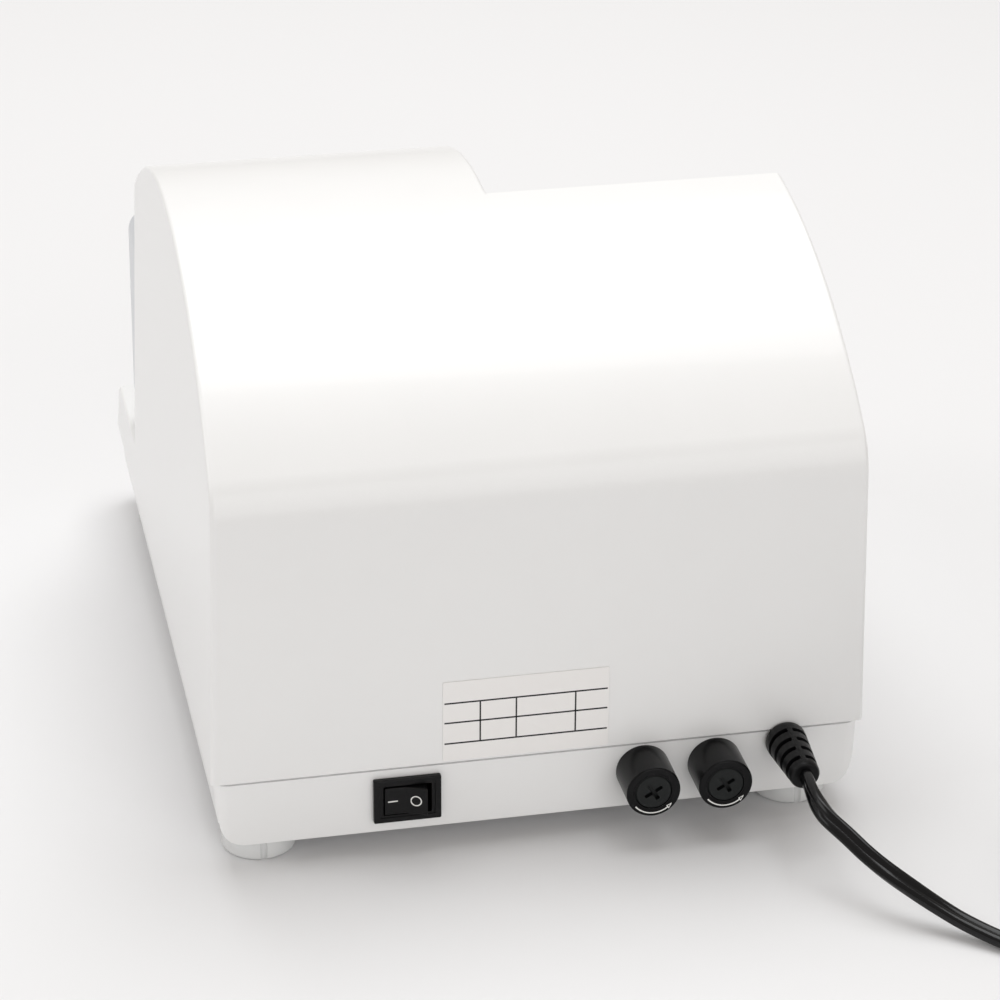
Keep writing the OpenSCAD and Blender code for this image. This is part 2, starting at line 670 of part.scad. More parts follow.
// A knuckle starts just beside the bracket's ear
knuckle_x = -4.6;
magnet_r = 3;
magnet_x = mouth_x1 - 8;
magnet_y = mouth_y0 + 10;
module lid() color([0.75, 0.85, 0.9, 0.4]) difference() {
    union() {
        intersection() {
            along_x(-body_w, split_x - lid_edge) polygon(band(lid_r - lid_t, lid_r, lid_rear_a, lid_a1));
            along_y(nose_y, rear_y) polygon([
                [-half_w(0) + lid_edge, 0], [-half_w(body_h) + lid_edge, body_h],
                [split_x, body_h], [split_x, 0]]);
        }
        // stiffening skirt inside the mouth
        difference() {
            along_x(mouth_x0 + skirt_gap, mouth_x1 - skirt_gap)
                polygon(band(lid_r - lid_t - skirt_h, lid_r - lid_t + 1,
                    lid_a0 + skirt_back, mouth_a - skirt_a));
            along_x(mouth_x0 + skirt_gap + skirt_t, mouth_x1 - skirt_gap - skirt_t)
                polygon(band(lid_r - lid_t - skirt_h - 1, lid_r - lid_t,
                    lid_a0 + 1, mouth_a - skirt_a - skirt_ta));
        }
        // finger tab past the nose end
        translate([mouth_mid, 0, 0]) along_x(-tab_w / 2, tab_w / 2)
            polygon([[lid_b[0] + 1, tab_z], [lid_b[0] + 1, tab_z + 3.5], [lid_b[0] - 6, tab_z + 3],
                [lid_b[0] - 6, tab_z]]);
        at_hinges() {
            to_right(knuckle_x, 0, 0) cylinder(h = knuckle_l, r = knuckle_r);
            block([knuckle_x, -knuckle_r - 3, 0.5 - knuckle_r], [knuckle_x + knuckle_l, 0, 0]);
        }
        at_magnet() cylinder(h = 8, r = magnet_r + 1.2);
    }
    at_hinges() {
        to_right(-6, 0, 0) cylinder(h = knuckle_l + 3, r = pin_d / 2 + fit);
        // notch for the bracket's ear
        block([ear_x - 0.6, -knuckle_r - 1, -20], [knuckle_x, 30, 20]);
    }
    at_magnet() translate([0, 0, -1]) cylinder(h = 4, r = magnet_r + fit);
}
// Underside of the magnet's boss in the lid
module at_magnet() {
    translate([magnet_x, magnet_y, lid_z(magnet_y, lid_r - lid_t) - 6]) children();
}
module lid_magnet() color("gray") at_magnet() cylinder(h = 2.9, r = magnet_r);
module reed_switch() color("darkgreen")
    translate([magnet_x + 4, tub_y0 - 2.4, lid_z(tub_y0, tub_r) - 12]) cube([14, 2, 8], center = true);

// Control console on the dome's front face

board_w = console_w - 18;
board_h = console_h - 18;
module on_console() {
    on_front() translate([console_x, console_v + console_h / 2, 0]) children();
}
window_w = 32;
window_h = 17;
window_v = 18;
key_pitch = 19;
key_places = [for (i = [-1.5:1.5]) [i * key_pitch, -12]];
face_t = 2.4;
// Sunk field of the console's face: its inset and depth
recess_in = 5.5;
recess_d = 0.7;
// A layer of the console between two heights, inset from its outline
module console_slab(z0, z1, in, r) {
    translate([0, 0, z0]) linear_extrude(z1 - z0) rounded(console_w - 2 * in, console_h - 2 * in, r);
}
module control_console() color([0.9, 0.91, 0.92]) on_console() difference() {
    union() {
        console_slab(slack, console_t - 3, 0, 8);
        console_slab(console_t - 3 - eps, console_t - 1.5 - eps, 0.6, 7.4);
        console_slab(console_t - 1.5 - eps, console_t, 2, 6);
        // collar that enters the dome's opening
        console_slab(-wall - 2, 1, 6 + slack, 4);
    }
    console_slab(-wall - 3, console_t - face_t, 8.5, 3);
    console_slab(console_t - recess_d, console_t + 1, recess_in, 4);
    translate([0, window_v, console_t / 2]) linear_extrude(console_t)
        square([window_w, window_h], center = true);
    for (k = key_places) translate([k[0], k[1], console_t / 2])
        linear_extrude(console_t) rounded(key_w + 2 * slack, key_w + 2 * slack, 2);
}
module panel_overlay() color([0.35, 0.5, 0.65]) on_console() difference() {
    console_slab(console_t - recess_d + 0.05, console_t - recess_d + 0.55, recess_in + slack, 3.8);
    translate([0, window_v, 0]) linear_extrude(2 * console_t)
        square([window_w + 0.6, window_h + 0.6], center = true);
    for (k = key_places) translate([k[0], k[1], 0]) linear_extrude(2 * console_t)
        rounded(key_w + 1, key_w + 1, 2.2);
}
module display_window() color([0.25, 0.02, 0.02, 0.8]) on_console()
    translate([0, window_v, console_t - 2]) linear_extrude(1.6)
        square([window_w - 0.2, window_h - 0.2], center = true);
board_v = console_t - face_t - 8;
module display_module() color([0.15, 0.15, 0.16]) on_console()
    translate([0, window_v, board_v]) linear_extrude(7) square([window_w - 3, window_h - 2], center = true);
module control_board() color("darkgreen") on_console() {
    translate([0, 0, board_v - 1.7]) linear_extrude(1.6) rounded(board_w - 0.6, board_h - 0.6, 2);
    // tact switches under the keys
    for (k = key_places) translate([k[0], k[1], board_v - 0.2]) {
        linear_extrude(3.4) square([6, 6], center = true);
        cylinder(h = tact_h, r = 1.7);
    }
}
// A key has a flange behind the console's face
key_back = console_t - face_t - 0.3 - key_travel - 1.2;
tact_h = key_back - key_travel - board_v;
module key_cap(i, c) color(c) on_console() translate([key_places[i][0], key_places[i][1], 0]) {
    translate([0, 0, key_back]) linear_extrude(1.2) rounded(key_w + 3, key_w + 3, 2);
    translate([0, 0, key_back]) linear_extrude(console_t + 0.8 - key_back) rounded(key_w, key_w, 1.8);
    translate([0, 0, console_t + 0.8 - eps]) linear_extrude(0.4) rounded(key_w - 1, key_w - 1, 1.4);
}
module key_start() key_cap(3, "seagreen");
module key_stop() key_cap(2, "firebrick");
module key_plus() key_cap(1, "gainsboro");
module key_minus() key_cap(0, "gainsboro");

// Drive: chassis on rubber posts, with the motor in a cradle

chassis_x0 = split_x + wall + 8;
chassis_x1 = body_w / 2 - wall - 12;
chassis_y0 = shaft_y - 40;
chassis_y1 = shaft_y + 82;
post_h = 6;
isolator_h = 7;
chassis_z = floor_z + post_h + isolator_h;
chassis_t = 1.5;
chassis_mid = (chassis_x0 + chassis_x1) / 2;
isolator_in = 7;
isolator_places = [for (x = [chassis_x0 + isolator_in, chassis_x1 - isolator_in],
    y = [chassis_y0 + isolator_in, chassis_y1 - isolator_in]) [x, y]];
isolator_hole_r = 1.9;
module isolators() color([0.1, 0.1, 0.1])
    for (p = isolator_places) translate([p[0], p[1], floor_z + post_h]) difference() {
        rotate_extrude() polygon([
            [0, 0], [post_r, 0], [post_r, 2], [post_r - 1.4, isolator_h / 2],
            [post_r, isolator_h - 2], [post_r, isolator_h], [0, isolator_h]]);
        translate([0, 0, -1]) cylinder(h = isolator_h + 2, r = isolator_hole_r);
    }
module chassis_plate() color("lightsteelblue") translate([0, 0, chassis_z]) difference() {
    linear_extrude(chassis_t) translate([chassis_mid, (chassis_y0 + chassis_y1) / 2])
        rounded(chassis_x1 - chassis_x0, chassis_y1 - chassis_y0, 4);
    for (p = isolator_places) translate([p[0], p[1], -1]) cylinder(h = 5, r = isolator_hole_r);
    translate([chassis_mid, shaft_y, 0]) cube([motor_l - 26, 16, 10], center = true);
}
motor_x0 = split_x + wall + 12;
cradle_top = shaft_z - motor_d / 4;
deck_z = chassis_z + chassis_t;
strap_w = 7;
strap_t = 1.2;
module motor_cradle() color("slategray") for (x = [motor_x0 + 6, motor_x0 + motor_l - 14]) difference() {
    translate([x, shaft_y - motor_d / 2 - 3, deck_z]) union() {
        translate([-3, -6, 0]) cube([14, motor_d + 18, 2]);
        cube([8, motor_d + 6, cradle_top - deck_z]);
    }
    to_right(x - 5, shaft_y, shaft_z) cylinder(h = 20, r = motor_d / 2 + fit);
}
module motor_straps() color("silver") for (x = [motor_x0 + 6.5, motor_x0 + motor_l - 13.5]) difference() {
    to_right(x, shaft_y, shaft_z) cylinder(h = strap_w, r = motor_d / 2 + strap_t);
    to_right(x - 1, shaft_y, shaft_z) cylinder(h = strap_w + 2, r = motor_d / 2 + fit);
    block([x - 1, shaft_y - motor_d, deck_z - 10], [x + strap_w + 1, shaft_y + motor_d, cradle_top + slack]);
}
module motor_body() color([0.55, 0.57, 0.6]) to_right(motor_x0, shaft_y, shaft_z) difference() {
    rotate_extrude() polygon([
        [0, -4], [10, -4], [10, 0], [motor_d / 2 - 4, 0], [motor_d / 2, 4], [motor_d / 2, motor_l - 4],
        [motor_d / 2 - 4, motor_l], [11, motor_l], [11, motor_l + 5], [0, motor_l + 5]]);
    translate([0, 0, -6]) cylinder(h = motor_l + 20, r = shaft_d / 2 + fit);
    for (a = [0:45:315]) rotate(a) for (z = [-1, motor_l - 1])
        translate([motor_d / 2 - 14, 0, z]) cylinder(h = 2, r = 3);
}
// Flanged bush that carries the shaft in the chamber's wall
module wall_bush() color("darkkhaki") to_right(tub_x1 - tub_t, shaft_y, shaft_z) difference() {
    union() {
        translate([0, 0, -3]) cylinder(h = 3 - 0.05, r = bush_hole_r + 3);
        translate([0, 0, -1]) cylinder(h = 1 + tub_t + 3, r = bush_hole_r - slack);
    }
    translate([0, 0, -4]) cylinder(h = 30, r = shaft_d / 2 + fit);
}
hub_x = split_x - 50;
shaft_x0 = hub_x - 14;
shaft_x1 = motor_x0 + motor_l + 8;
shaft_l = shaft_x1 - shaft_x0;
shaft_bevel = 0.6;
module rotor_shaft() color("silver") to_right(shaft_x0, shaft_y, shaft_z) rotate_extrude() polygon([
    [0, 0], [shaft_d / 2 - shaft_bevel, 0], [shaft_d / 2, shaft_bevel], [shaft_d / 2, shaft_l - shaft_bevel],
    [shaft_d / 2 - shaft_bevel, shaft_l], [0, shaft_l]]);

// Gap between pieces that are pressed together
press_gap = 0.01;
// Frame of the slanted sleeve: X along its slanted axis, Z up
module on_skew() {
    translate([hub_x, shaft_y, shaft_z]) rotate(skew) children();
}
journal_r = 8.5;
ring_t = 9;
race_in = 11.4;
race_out = 14.2;
ring_r = 17;
ball_r = (race_out - race_in) / 2 - fit;
collar_at = ring_t / 2 - 1 + (journal_r + 1.5) * sin(skew) + slack;
module skew_hub() color("dimgray") difference() {
    union() {
        on_skew() to_right(-ring_t / 2 - 1, 0, 0) cylinder(h = ring_t + 4, r = journal_r);
        to_right(hub_x + collar_at, shaft_y, shaft_z) cylinder(h = 8, r = journal_r + 1.5);
    }
    to_right(hub_x - 30, shaft_y, shaft_z) cylinder(h = 60, r = shaft_d / 2 + press_gap);
}
module counterweight() color("darkgray") to_right(hub_x + ring_t / 2 + 13, shaft_y, shaft_z) difference() {
    union() {
        cylinder(h = 6, r = 8);
        intersection() {
            cylinder(h = 6, r = 11);
            translate([-11, 0, 0]) cube([22, 11, 6]);
        }
    }
    translate([0, 0, -1]) cylinder(h = 8, r = shaft_d / 2 + press_gap);
}
module bearing_inner() color("silver") on_skew() rotate([0, 90, 0]) difference() {
    cylinder(h = ring_t - 2, r = race_in, center = true);
    cylinder(h = ring_t, r = journal_r + press_gap, center = true);
}
module bearing_outer() color("silver") on_skew() rotate([0, 90, 0]) difference() {
    cylinder(h = ring_t - 2, r = ring_r, center = true);
    cylinder(h = ring_t, r = race_out, center = true);
}
module bearing_balls() color("lightgray") on_skew() rotate([0, 90, 0]) for (i = [0:8]) rotate(40 * i)
    translate([(race_in + race_out) / 2, 0, 0]) sphere(ball_r, $fn = 24);

// The arm's ring holds the bearing; its tail runs in a slot, its front carries the fork
arm_ring_r = ring_r + 4;
tail_l = 34;
tail_r = 4.5;
module shaker_arm() color([0.8, 0.82, 0.84]) on_skew() difference() {
    union() {
        rotate([0, 90, 0]) cylinder(h = ring_t + 1, r = arm_ring_r, center = true);
        // front beam, tapered towards the fork
        block([-4, -fork_back, -7], [4, 3 - arm_ring_r, 7]);
        // tail down into the guide
        translate([0, 0, -tail_l / 2 - 7]) cube([7, 2 * tail_r, tail_l - 14], center = true);
        to_right(0, 0, -tail_l) cylinder(h = 7, r = tail_r, center = true);
    }
    rotate([0, 90, 0]) cylinder(h = ring_t + 3, r = ring_r + press_gap, center = true);
}
fork_back = arm_l - capsule_d / 2 - 8;
prong_t = 5;
prong_w = 12;
fork_w = capsule_l + jaw_travel + 2 * prong_t + 5;
fork_mid = (jaw_travel + 5) / 2;
module capsule_fork() color([0.82, 0.84, 0.86]) on_skew() difference() {
    translate([0, -fork_back, 0]) union() {
        translate([-fork_w / 2 + fork_mid, -5 - eps, -prong_w / 2]) cube([fork_w, 5, prong_w]);
        for (x = [-fork_w / 2 + fork_mid, fork_w / 2 + fork_mid - prong_t]) {
            translate([x, -capsule_d - 7, -prong_w / 2]) cube([prong_t, capsule_d + 5, prong_w]);
            to_right(x, -capsule_d - 7, 0) cylinder(h = prong_t, r = prong_w / 2);
        }
    }
    // cup of the fixed prong, and bore of the jaw's stem
    to_right(-capsule_l / 2 - 2, -arm_l, 0) cylinder(h = 8, r = capsule_d / 2 - 2);
    to_right(0, -arm_l, 0) cylinder(h = 60, r = stem_r + fit);
}
stem_r = 2.5;
// Far side of the sprung prong, from the jaw's resting face
prong_far = jaw_travel + 5 + prong_t;
module clamp_jaw() color("gray") on_skew() to_right(capsule_l / 2, -arm_l, 0) difference() {
    union() {
        cylinder(h = 4.5, r = capsule_d / 2);
        cylinder(h = prong_far + 4, r = stem_r);
        translate([0, 0, prong_far + 1]) cylinder(h = 2.5, r = stem_r + 1.5);
    }
    translate([0, 0, -1]) cylinder(h = 2.5, r = capsule_d / 2 - 2);
}
// Slotted nylon block that stops the arm from turning with the shaft
guide_l = 2 * tail_l * sin(skew) + 18;
guide_gap = 0.9;
module tail_guide() color("ivory") translate([hub_x, shaft_y, 0]) difference() {
    block([-guide_l / 2, -11, tub_floor + tub_t + 0.05], [guide_l / 2, 11, shaft_z - tail_l + 3.05]);
    block([-guide_l, -tail_r - guide_gap, shaft_z - tail_l - tail_r - guide_gap],
        [guide_l, tail_r + guide_gap, shaft_z]);
}

// Supply

core_y = shaft_y + motor_d / 2 + 29;
core_x = chassis_mid;
module transformer_core() color([0.35, 0.36, 0.38]) translate([core_x, core_y, deck_z + 0.05]) {
    difference() {
        translate([-24, -9, 0]) cube([48, 18, 40]);
        for (s = [-1, 1]) translate([s * 12 - 4, -10, 8]) cube([8, 20, 24]);
    }
    for (s = [-1, 1]) translate([s * 29 - 6, -9, 0]) cube([12, 18, 1.5]);
}
module transformer_coil() color("goldenrod") translate([core_x, core_y, deck_z + 20.05]) difference() {
    cube([31, 30, 23], center = true);
    cube([16 + 2 * slack, 18 + 2 * slack, 24], center = true);
}
board_z = 40;
board_x = -78;
board_places = [for (x = [board_x + 5, board_x + 63], y = [rear_y - 82, rear_y - 32]) [x, y]];
module power_board() color("darkgreen") {
    difference() {
        translate([board_x, rear_y - 87, board_z + 0.05]) cube([68, 60, 1.6]);
        for (p = board_places) translate([p[0], p[1], board_z - 1]) cylinder(h = 4, r = 1.6);
    }
    translate([board_x + 23, rear_y - 60, board_z + 1.6]) cylinder(h = 26, r = 9);
    translate([board_x + 43, rear_y - 78, board_z + 1.6]) cube([16, 20, 16]);
    translate([board_x + 7, rear_y - 75, board_z + 1.6]) cube([14, 3, 22]);
}

// Lead: a flat cord that falls to the table and is stored in a round coil

tube_r = cord_d / 2 - 0.1;
// Height of the coil's lower turns: they lie on the wire tie
tie_t = 0.8;
coil_z = tie_t + 0.1 + tube_r;
// The whole lead is placed from the strain relief's end in plan, with heights above the table
lead_at = [cord_x, rear_y + boot_l, 0];
// Route of the free stretch, chosen by eye
cord_route = [
    [0, 0.1, boot_z], [0.2, 4.3, 26.4], [0.5, 9.3, 25.9], [0.1, 14.4, 24.8], [-1.6, 19.7, 23],
    [-5.8, 26, 20.2], [-10.2, 32.8, 17.1], [-15.4, 39, 14], [-21.4, 44.6, 11], [-27.6, 50, 8.3],
    [-34.2, 56.1, 5.9], [-42.2, 63.3, 4], [-51.7, 71.5, 3], [-61.3, 79.8, 3.1],
    [-71.7, 86.8, coil_z]];
function mix(a, b, t) = a + (b - a) * t;
// A point of the smooth curve through the route, at u stretches from its start
function spline(p, u) = let (n = len(p) - 1, i = min(floor(u), n - 1), t = u - i,
        a = p[max(i - 1, 0)], b = p[i], c = p[i + 1], d = p[min(i + 2, n)])
    0.5 * (2 * b + (c - a) * t + (2 * a - 5 * b + 4 * c - d) * t * t
        + (3 * b - a - 3 * c + d) * t * t * t);
// A round tube of k sides along the points q, its ends square
module tube(q, r, k) {
    n = len(q);
    ring = [for (i = [0:n - 1])
        let (t = unit(q[min(i + 1, n - 1)] - q[max(i - 1, 0)]),
            s = unit(cross([0, 0, 1], t)), u = cross(t, s))
        each [for (j = [0:k - 1]) q[i] + r * (cos(360 * j / k) * s + sin(360 * j / k) * u)]];
    polyhedron(ring, concat(
        [[for (j = [0:k - 1]) j]],
        [[for (j = [k - 1:-1:0]) (n - 1) * k + j]],
        [for (i = [0:n - 2]) for (j = [0:k - 1]) let (l = (j + 1) % k)
            each [[i * k + j, (i + 1) * k + j, (i + 1) * k + l],
                [i * k + j, (i + 1) * k + l, i * k + l]]]),
        convexity = 8);
}
module cord() color([0.08, 0.08, 0.08])
    translate(lead_at) tube([for (i = [0:2 * len(cord_route) - 2]) spline(cord_route, i / 2)], tube_r, 8);

// Coil of two layers: it winds inward below, climbs in half a turn, and winds outward above
coil_r = 42.5;
coil_turns = 6.4;
coil_start = 56;
coil_pitch = cord_d + 0.6;
layer_pitch = cord_d + 0.5;
function coil_radius(t) = coil_r - coil_pitch * (coil_turns / 2 - abs(t - coil_turns / 2));
function coil_height(t) = coil_z + layer_pitch * min(max(2 * (t - coil_turns / 2) + 0.5, 0), 1);
function coil_at(t) = let (a = coil_start + 360 * t) [
    coil_c[0] + coil_radius(t) * cos(a), coil_c[1] + coil_radius(t) * sin(a), coil_height(t)];
function heading(a) = [cos(a), sin(a), 0];
// The coil starts where the free stretch ends
coil_c = cord_route[len(cord_route) - 1] + (cord_d + 0.1) * heading(coil_start + 90)
    - coil_r * heading(coil_start);
coil_steps = 24;
coil_end = coil_start + 360 * coil_turns;
coil_path = concat(
    [coil_at(0) - cord_d * heading(coil_start + 90)],
    [for (i = [0:coil_steps * coil_turns]) coil_at(i / coil_steps)],
    [coil_at(coil_turns) + cord_d * heading(coil_end + 90)]);
module cord_coil() color([0.08, 0.08, 0.08]) translate(lead_at) tube(coil_path, tube_r, 6);
// Least distance between points of the coil that are most of a turn apart
coil_gap = min([for (i = [1:len(coil_path) - 14]) for (j = [i + 12:len(coil_path) - 2])
    norm(coil_path[i] - coil_path[j])]) - 2 * tube_r;
echo(coil_gap = coil_gap);

// From the coil to the plug
plug_t = 13.7;
plug_w = 35.3;
plug_l = 36;
plug_turn = 285;
plug_at = [-126.7, 2.8, plug_t / 2];
tail_0 = coil_path[len(coil_path) - 1] + 0.1 * heading(coil_end + 90);
tail_route = [tail_0, tail_0 + cord_d * heading(coil_end + 90),
    [-132.5, 20.2, 8.6], [-128.3, 8.6, 6.9], plug_at];
module cord_tail() color([0.08, 0.08, 0.08])
    translate(lead_at) tube([for (i = [0:12]) spline(tail_route, i / 3)], tube_r, 8);
module at_plug() {
    translate(lead_at + plug_at) rotate(plug_turn - 90) children();
}
pin_gap = 19;
module plug_body() color([0.1, 0.1, 0.1]) at_plug() difference() {
    union() {
        translate([0, 0.05, -plug_t / 2]) linear_extrude(plug_t) polygon([
            [-7, 10], [7, 10], [plug_w / 2 - 1.5, 21], [plug_w / 2, 24], [plug_w / 2, plug_l],
            [-plug_w / 2, plug_l], [-plug_w / 2, 24], [1.5 - plug_w / 2, 21]]);
        to_rear(0, 0.05, 0) rotate_extrude() polygon([[0, 0], [4.2, 0], [6, 11], [0, 11]]);
    }
    for (s = [-1, 1]) to_rear(s * pin_gap / 2, plug_l - 10, 0) cylinder(h = 20, r = 2.01);
}
module plug_pins() color("silver") at_plug() for (s = [-1, 1]) to_rear(s * pin_gap / 2, plug_l - 9.9, 0)
    rotate_extrude() polygon([[0, 0], [2, 0], [2, 28], [1.2, 29], [0, 29]]);
// Wire tie round the wound cord, with its twisted ends on top
tie_a = -40;
module cord_tie() color("darkslategray")
    translate(lead_at + [coil_c[0], coil_c[1], 0]) rotate([0, 0, tie_a]) {
    r0 = coil_r - coil_pitch * coil_turns / 2 - tube_r - 1.2;
    r1 = coil_r + tube_r + 1.2;
    top = coil_z + layer_pitch + tube_r + 0.6;
    translate([0, 2, 0]) rotate([90, 0, 0]) linear_extrude(4) difference() {
        translate([(r0 + r1) / 2, (top + tie_t) / 2]) rounded(r1 - r0 + 2 * tie_t, top + tie_t, 3);
        translate([(r0 + r1) / 2, (top + tie_t) / 2]) rounded(r1 - r0, top - tie_t, 2.2);
    }
    translate([(r0 + r1) / 2 - 4, -1.2, top + tie_t - 0.1]) cube([12, 2.4, 1.6]);
}

base_pan();
feet();
foot_screws();
upper_housing();
shell_screws();
rating_label();
switch_body();
rocker();
fuse_body_a();
fuse_body_b();
fuse_nuts();
fuse_link_a();
fuse_link_b();
fuse_carrier_a();
fuse_carrier_b();
cord_boot();
chamber_tub();
lid();
hinge_brackets();
hinge_pins();
lid_magnet();
reed_switch();
control_console();
panel_overlay();
display_window();
display_module();
control_board();
key_start();
key_stop();
key_plus();
key_minus();
chassis_plate();
isolators();
motor_cradle();
motor_straps();
motor_body();
wall_bush();
rotor_shaft();
skew_hub();
counterweight();
bearing_inner();
bearing_balls();
bearing_outer();
shaker_arm();
capsule_fork();
clamp_jaw();
tail_guide();
transformer_core();
transformer_coil();
power_board();
cord();
cord_coil();
cord_tail();
cord_tie();
plug_body();
plug_pins();
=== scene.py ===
from math import atan2, cos, degrees, hypot, pi, radians, sin, sqrt, tan

import bpy
from mathutils import Matrix, Vector


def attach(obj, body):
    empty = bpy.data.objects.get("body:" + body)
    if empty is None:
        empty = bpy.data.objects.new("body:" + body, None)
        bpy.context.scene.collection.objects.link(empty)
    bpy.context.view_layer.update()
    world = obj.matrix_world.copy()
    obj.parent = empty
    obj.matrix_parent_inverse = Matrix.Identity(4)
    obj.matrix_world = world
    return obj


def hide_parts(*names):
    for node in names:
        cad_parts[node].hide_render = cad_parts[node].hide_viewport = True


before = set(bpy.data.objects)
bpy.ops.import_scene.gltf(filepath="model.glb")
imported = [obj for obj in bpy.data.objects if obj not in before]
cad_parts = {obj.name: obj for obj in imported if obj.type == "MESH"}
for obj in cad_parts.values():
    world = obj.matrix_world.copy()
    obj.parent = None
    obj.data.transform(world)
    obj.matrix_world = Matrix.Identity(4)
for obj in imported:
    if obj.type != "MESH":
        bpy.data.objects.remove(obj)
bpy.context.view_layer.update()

bpy.ops.object.select_all(action="DESELECT")

# The camera stands behind the machine, above it and a little to the operator's right, with
# a long lens. Its place and turn were fitted to the switch, fuses and seam of the rear.
CAMERA_PLACE = Vector((0.200453, 1.001804, 0.562875))
CAMERA_SIDE, CAMERA_DROP = radians(12.0115), radians(26.3778)
CAMERA_ROLL = 0.006376
look = -Vector((sin(CAMERA_SIDE) * cos(CAMERA_DROP), cos(CAMERA_SIDE) * cos(CAMERA_DROP),
                sin(CAMERA_DROP)))
bpy.ops.object.camera_add(location=CAMERA_PLACE)
camera = bpy.context.object
camera.rotation_mode = "QUATERNION"
roll = Matrix.Rotation(CAMERA_ROLL, 3, "Z").to_quaternion()
camera.rotation_quaternion = look.to_track_quat("-Z", "Y") @ roll
camera.data.sensor_width = 36
camera.data.lens = 122.19
bpy.context.scene.camera = camera
bpy.context.scene.view_settings.view_transform = "Standard"

# A pale table top without an edge, and studio light: a wide lamp above the machine's front,
# a wider and weaker one behind it, on the camera's side, and a small one on the operator's
# right. The world lights the machine evenly and is seen as a pale wall.
FLOOR_COLOUR, LAMP_COLOUR = (0.80, 0.80, 0.81), (0.975, 0.99, 1.0)
LAMPS_AIM_AT = Vector((0, 0, 0.06))
world = bpy.data.worlds.new("studio")
world.use_nodes = True
bpy.context.scene.world = world
air = world.node_tree
lit = air.nodes["Background"]
lit.inputs["Color"].default_value = (1.0, 0.945, 0.885, 1)
lit.inputs["Strength"].default_value = 0.47
seen = air.nodes.new("ShaderNodeBackground")
seen.inputs["Color"].default_value = (0.87, 0.875, 0.89, 1)
seen.inputs["Strength"].default_value = 1.0
rays = air.nodes.new("ShaderNodeLightPath")
choice = air.nodes.new("ShaderNodeMixShader")
either = air.nodes.new("ShaderNodeMath")
either.operation = "MAXIMUM"
air.links.new(rays.outputs["Is Camera Ray"], either.inputs[0])
air.links.new(rays.outputs["Is Transmission Ray"], either.inputs[1])
air.links.new(either.outputs[0], choice.inputs[0])
air.links.new(lit.outputs[0], choice.inputs[1])
air.links.new(seen.outputs[0], choice.inputs[2])
air.links.new(choice.outputs[0], air.nodes["World Output"].inputs["Surface"])

for lamp_name, place, size, energy in (
        ("lamp_above", (-0.12, -0.5, 1.9), 1.5, 26.5),
        ("lamp_right", (1.5, 0.05, 1.0), 1.0, 5.5),
        ("lamp_behind", (-0.5, 2.6, 0.9), 1.8, 16.5)):
    bpy.ops.object.light_add(type="AREA", location=place)
    lamp = bpy.context.object
    lamp.name = lamp_name
    lamp.data.size = size
    lamp.data.energy = energy
    lamp.data.color = LAMP_COLOUR
    lamp.rotation_mode = "QUATERNION"
    lamp.rotation_quaternion = (LAMPS_AIM_AT - Vector(place)).to_track_quat("-Z", "Y")

bpy.ops.mesh.primitive_plane_add(size=30, location=(0, 0, 0))
floor = bpy.context.object
floor.name = "table_top"
matt = bpy.data.materials.new("table_top")
matt.use_nodes = True
matt.node_tree.nodes["Principled BSDF"].inputs["Base Color"].default_value = (*FLOOR_COLOUR, 1)
matt.node_tree.nodes["Principled BSDF"].inputs["Roughness"].default_value = 0.75
floor.data.materials.append(matt)

# Lead: two insulated wires side by side in one flat black PVC jacket. It falls from the
# strain relief to the table, and its spare length is wound into a coil of two layers.
CORD_WIDE, CORD_THICK = 5.6, 3.6


def finish(name, colour, roughness, grain=0.3, relief=0.1, vary=0.04, metallic=0.0,
           cast=(1, 1, 1), **sockets):
    """A finish with a grain of that many mm, and colour and sheen that drift a little.

    cast stretches the grain. Further words set sockets of the shader."""
    made = bpy.data.materials.new(name)
    made.use_nodes = True
    nodes, link = made.node_tree.nodes, made.node_tree.links.new
    shader = nodes["Principled BSDF"]
    place = nodes.new("ShaderNodeTexCoord")
    stretch = nodes.new("ShaderNodeMapping")
    stretch.inputs["Scale"].default_value = cast
    link(place.outputs["Object"], stretch.inputs["Vector"])
    fine, broad = nodes.new("ShaderNodeTexNoise"), nodes.new("ShaderNodeTexNoise")
    fine.inputs["Scale"].default_value = 1000 / grain
    fine.inputs["Detail"].default_value = 2
    broad.inputs["Scale"].default_value = 38
    broad.inputs["Detail"].default_value = 4
    link(stretch.outputs[0], fine.inputs["Vector"])
    link(place.outputs["Object"], broad.inputs["Vector"])
    tone = nodes.new("ShaderNodeMix")
    tone.data_type = "RGBA"
    tone.inputs["A"].default_value = (*[c * (1 - vary) for c in colour], 1)
    tone.inputs["B"].default_value = (*[min(c * (1 + vary), 1) for c in colour], 1)
    link(broad.outputs[0], tone.inputs["Factor"])
    link(tone.outputs["Result"], shader.inputs["Base Color"])
    sheen = nodes.new("ShaderNodeMapRange")
    sheen.inputs["To Min"].default_value = roughness * 0.88
    sheen.inputs["To Max"].default_value = min(roughness * 1.12, 1)
    link(broad.outputs[0], sheen.inputs["Value"])
    link(sheen.outputs[0], shader.inputs["Roughness"])
    bump = nodes.new("ShaderNodeBump")
    bump.inputs["Strength"].default_value = relief
    bump.inputs["Distance"].default_value = grain / 3000
    link(fine.outputs[0], bump.inputs["Height"])
    link(bump.outputs[0], shader.inputs["Normal"])
    shader.inputs["Metallic"].default_value = metallic
    for socket, value in sockets.items():
        shader.inputs[socket.replace("_", " ")].default_value = value
    return made


def only(piece):
    """Selects this object alone."""
    bpy.ops.object.select_all(action="DESELECT")
    piece.select_set(True)
    bpy.context.view_layer.objects.active = piece


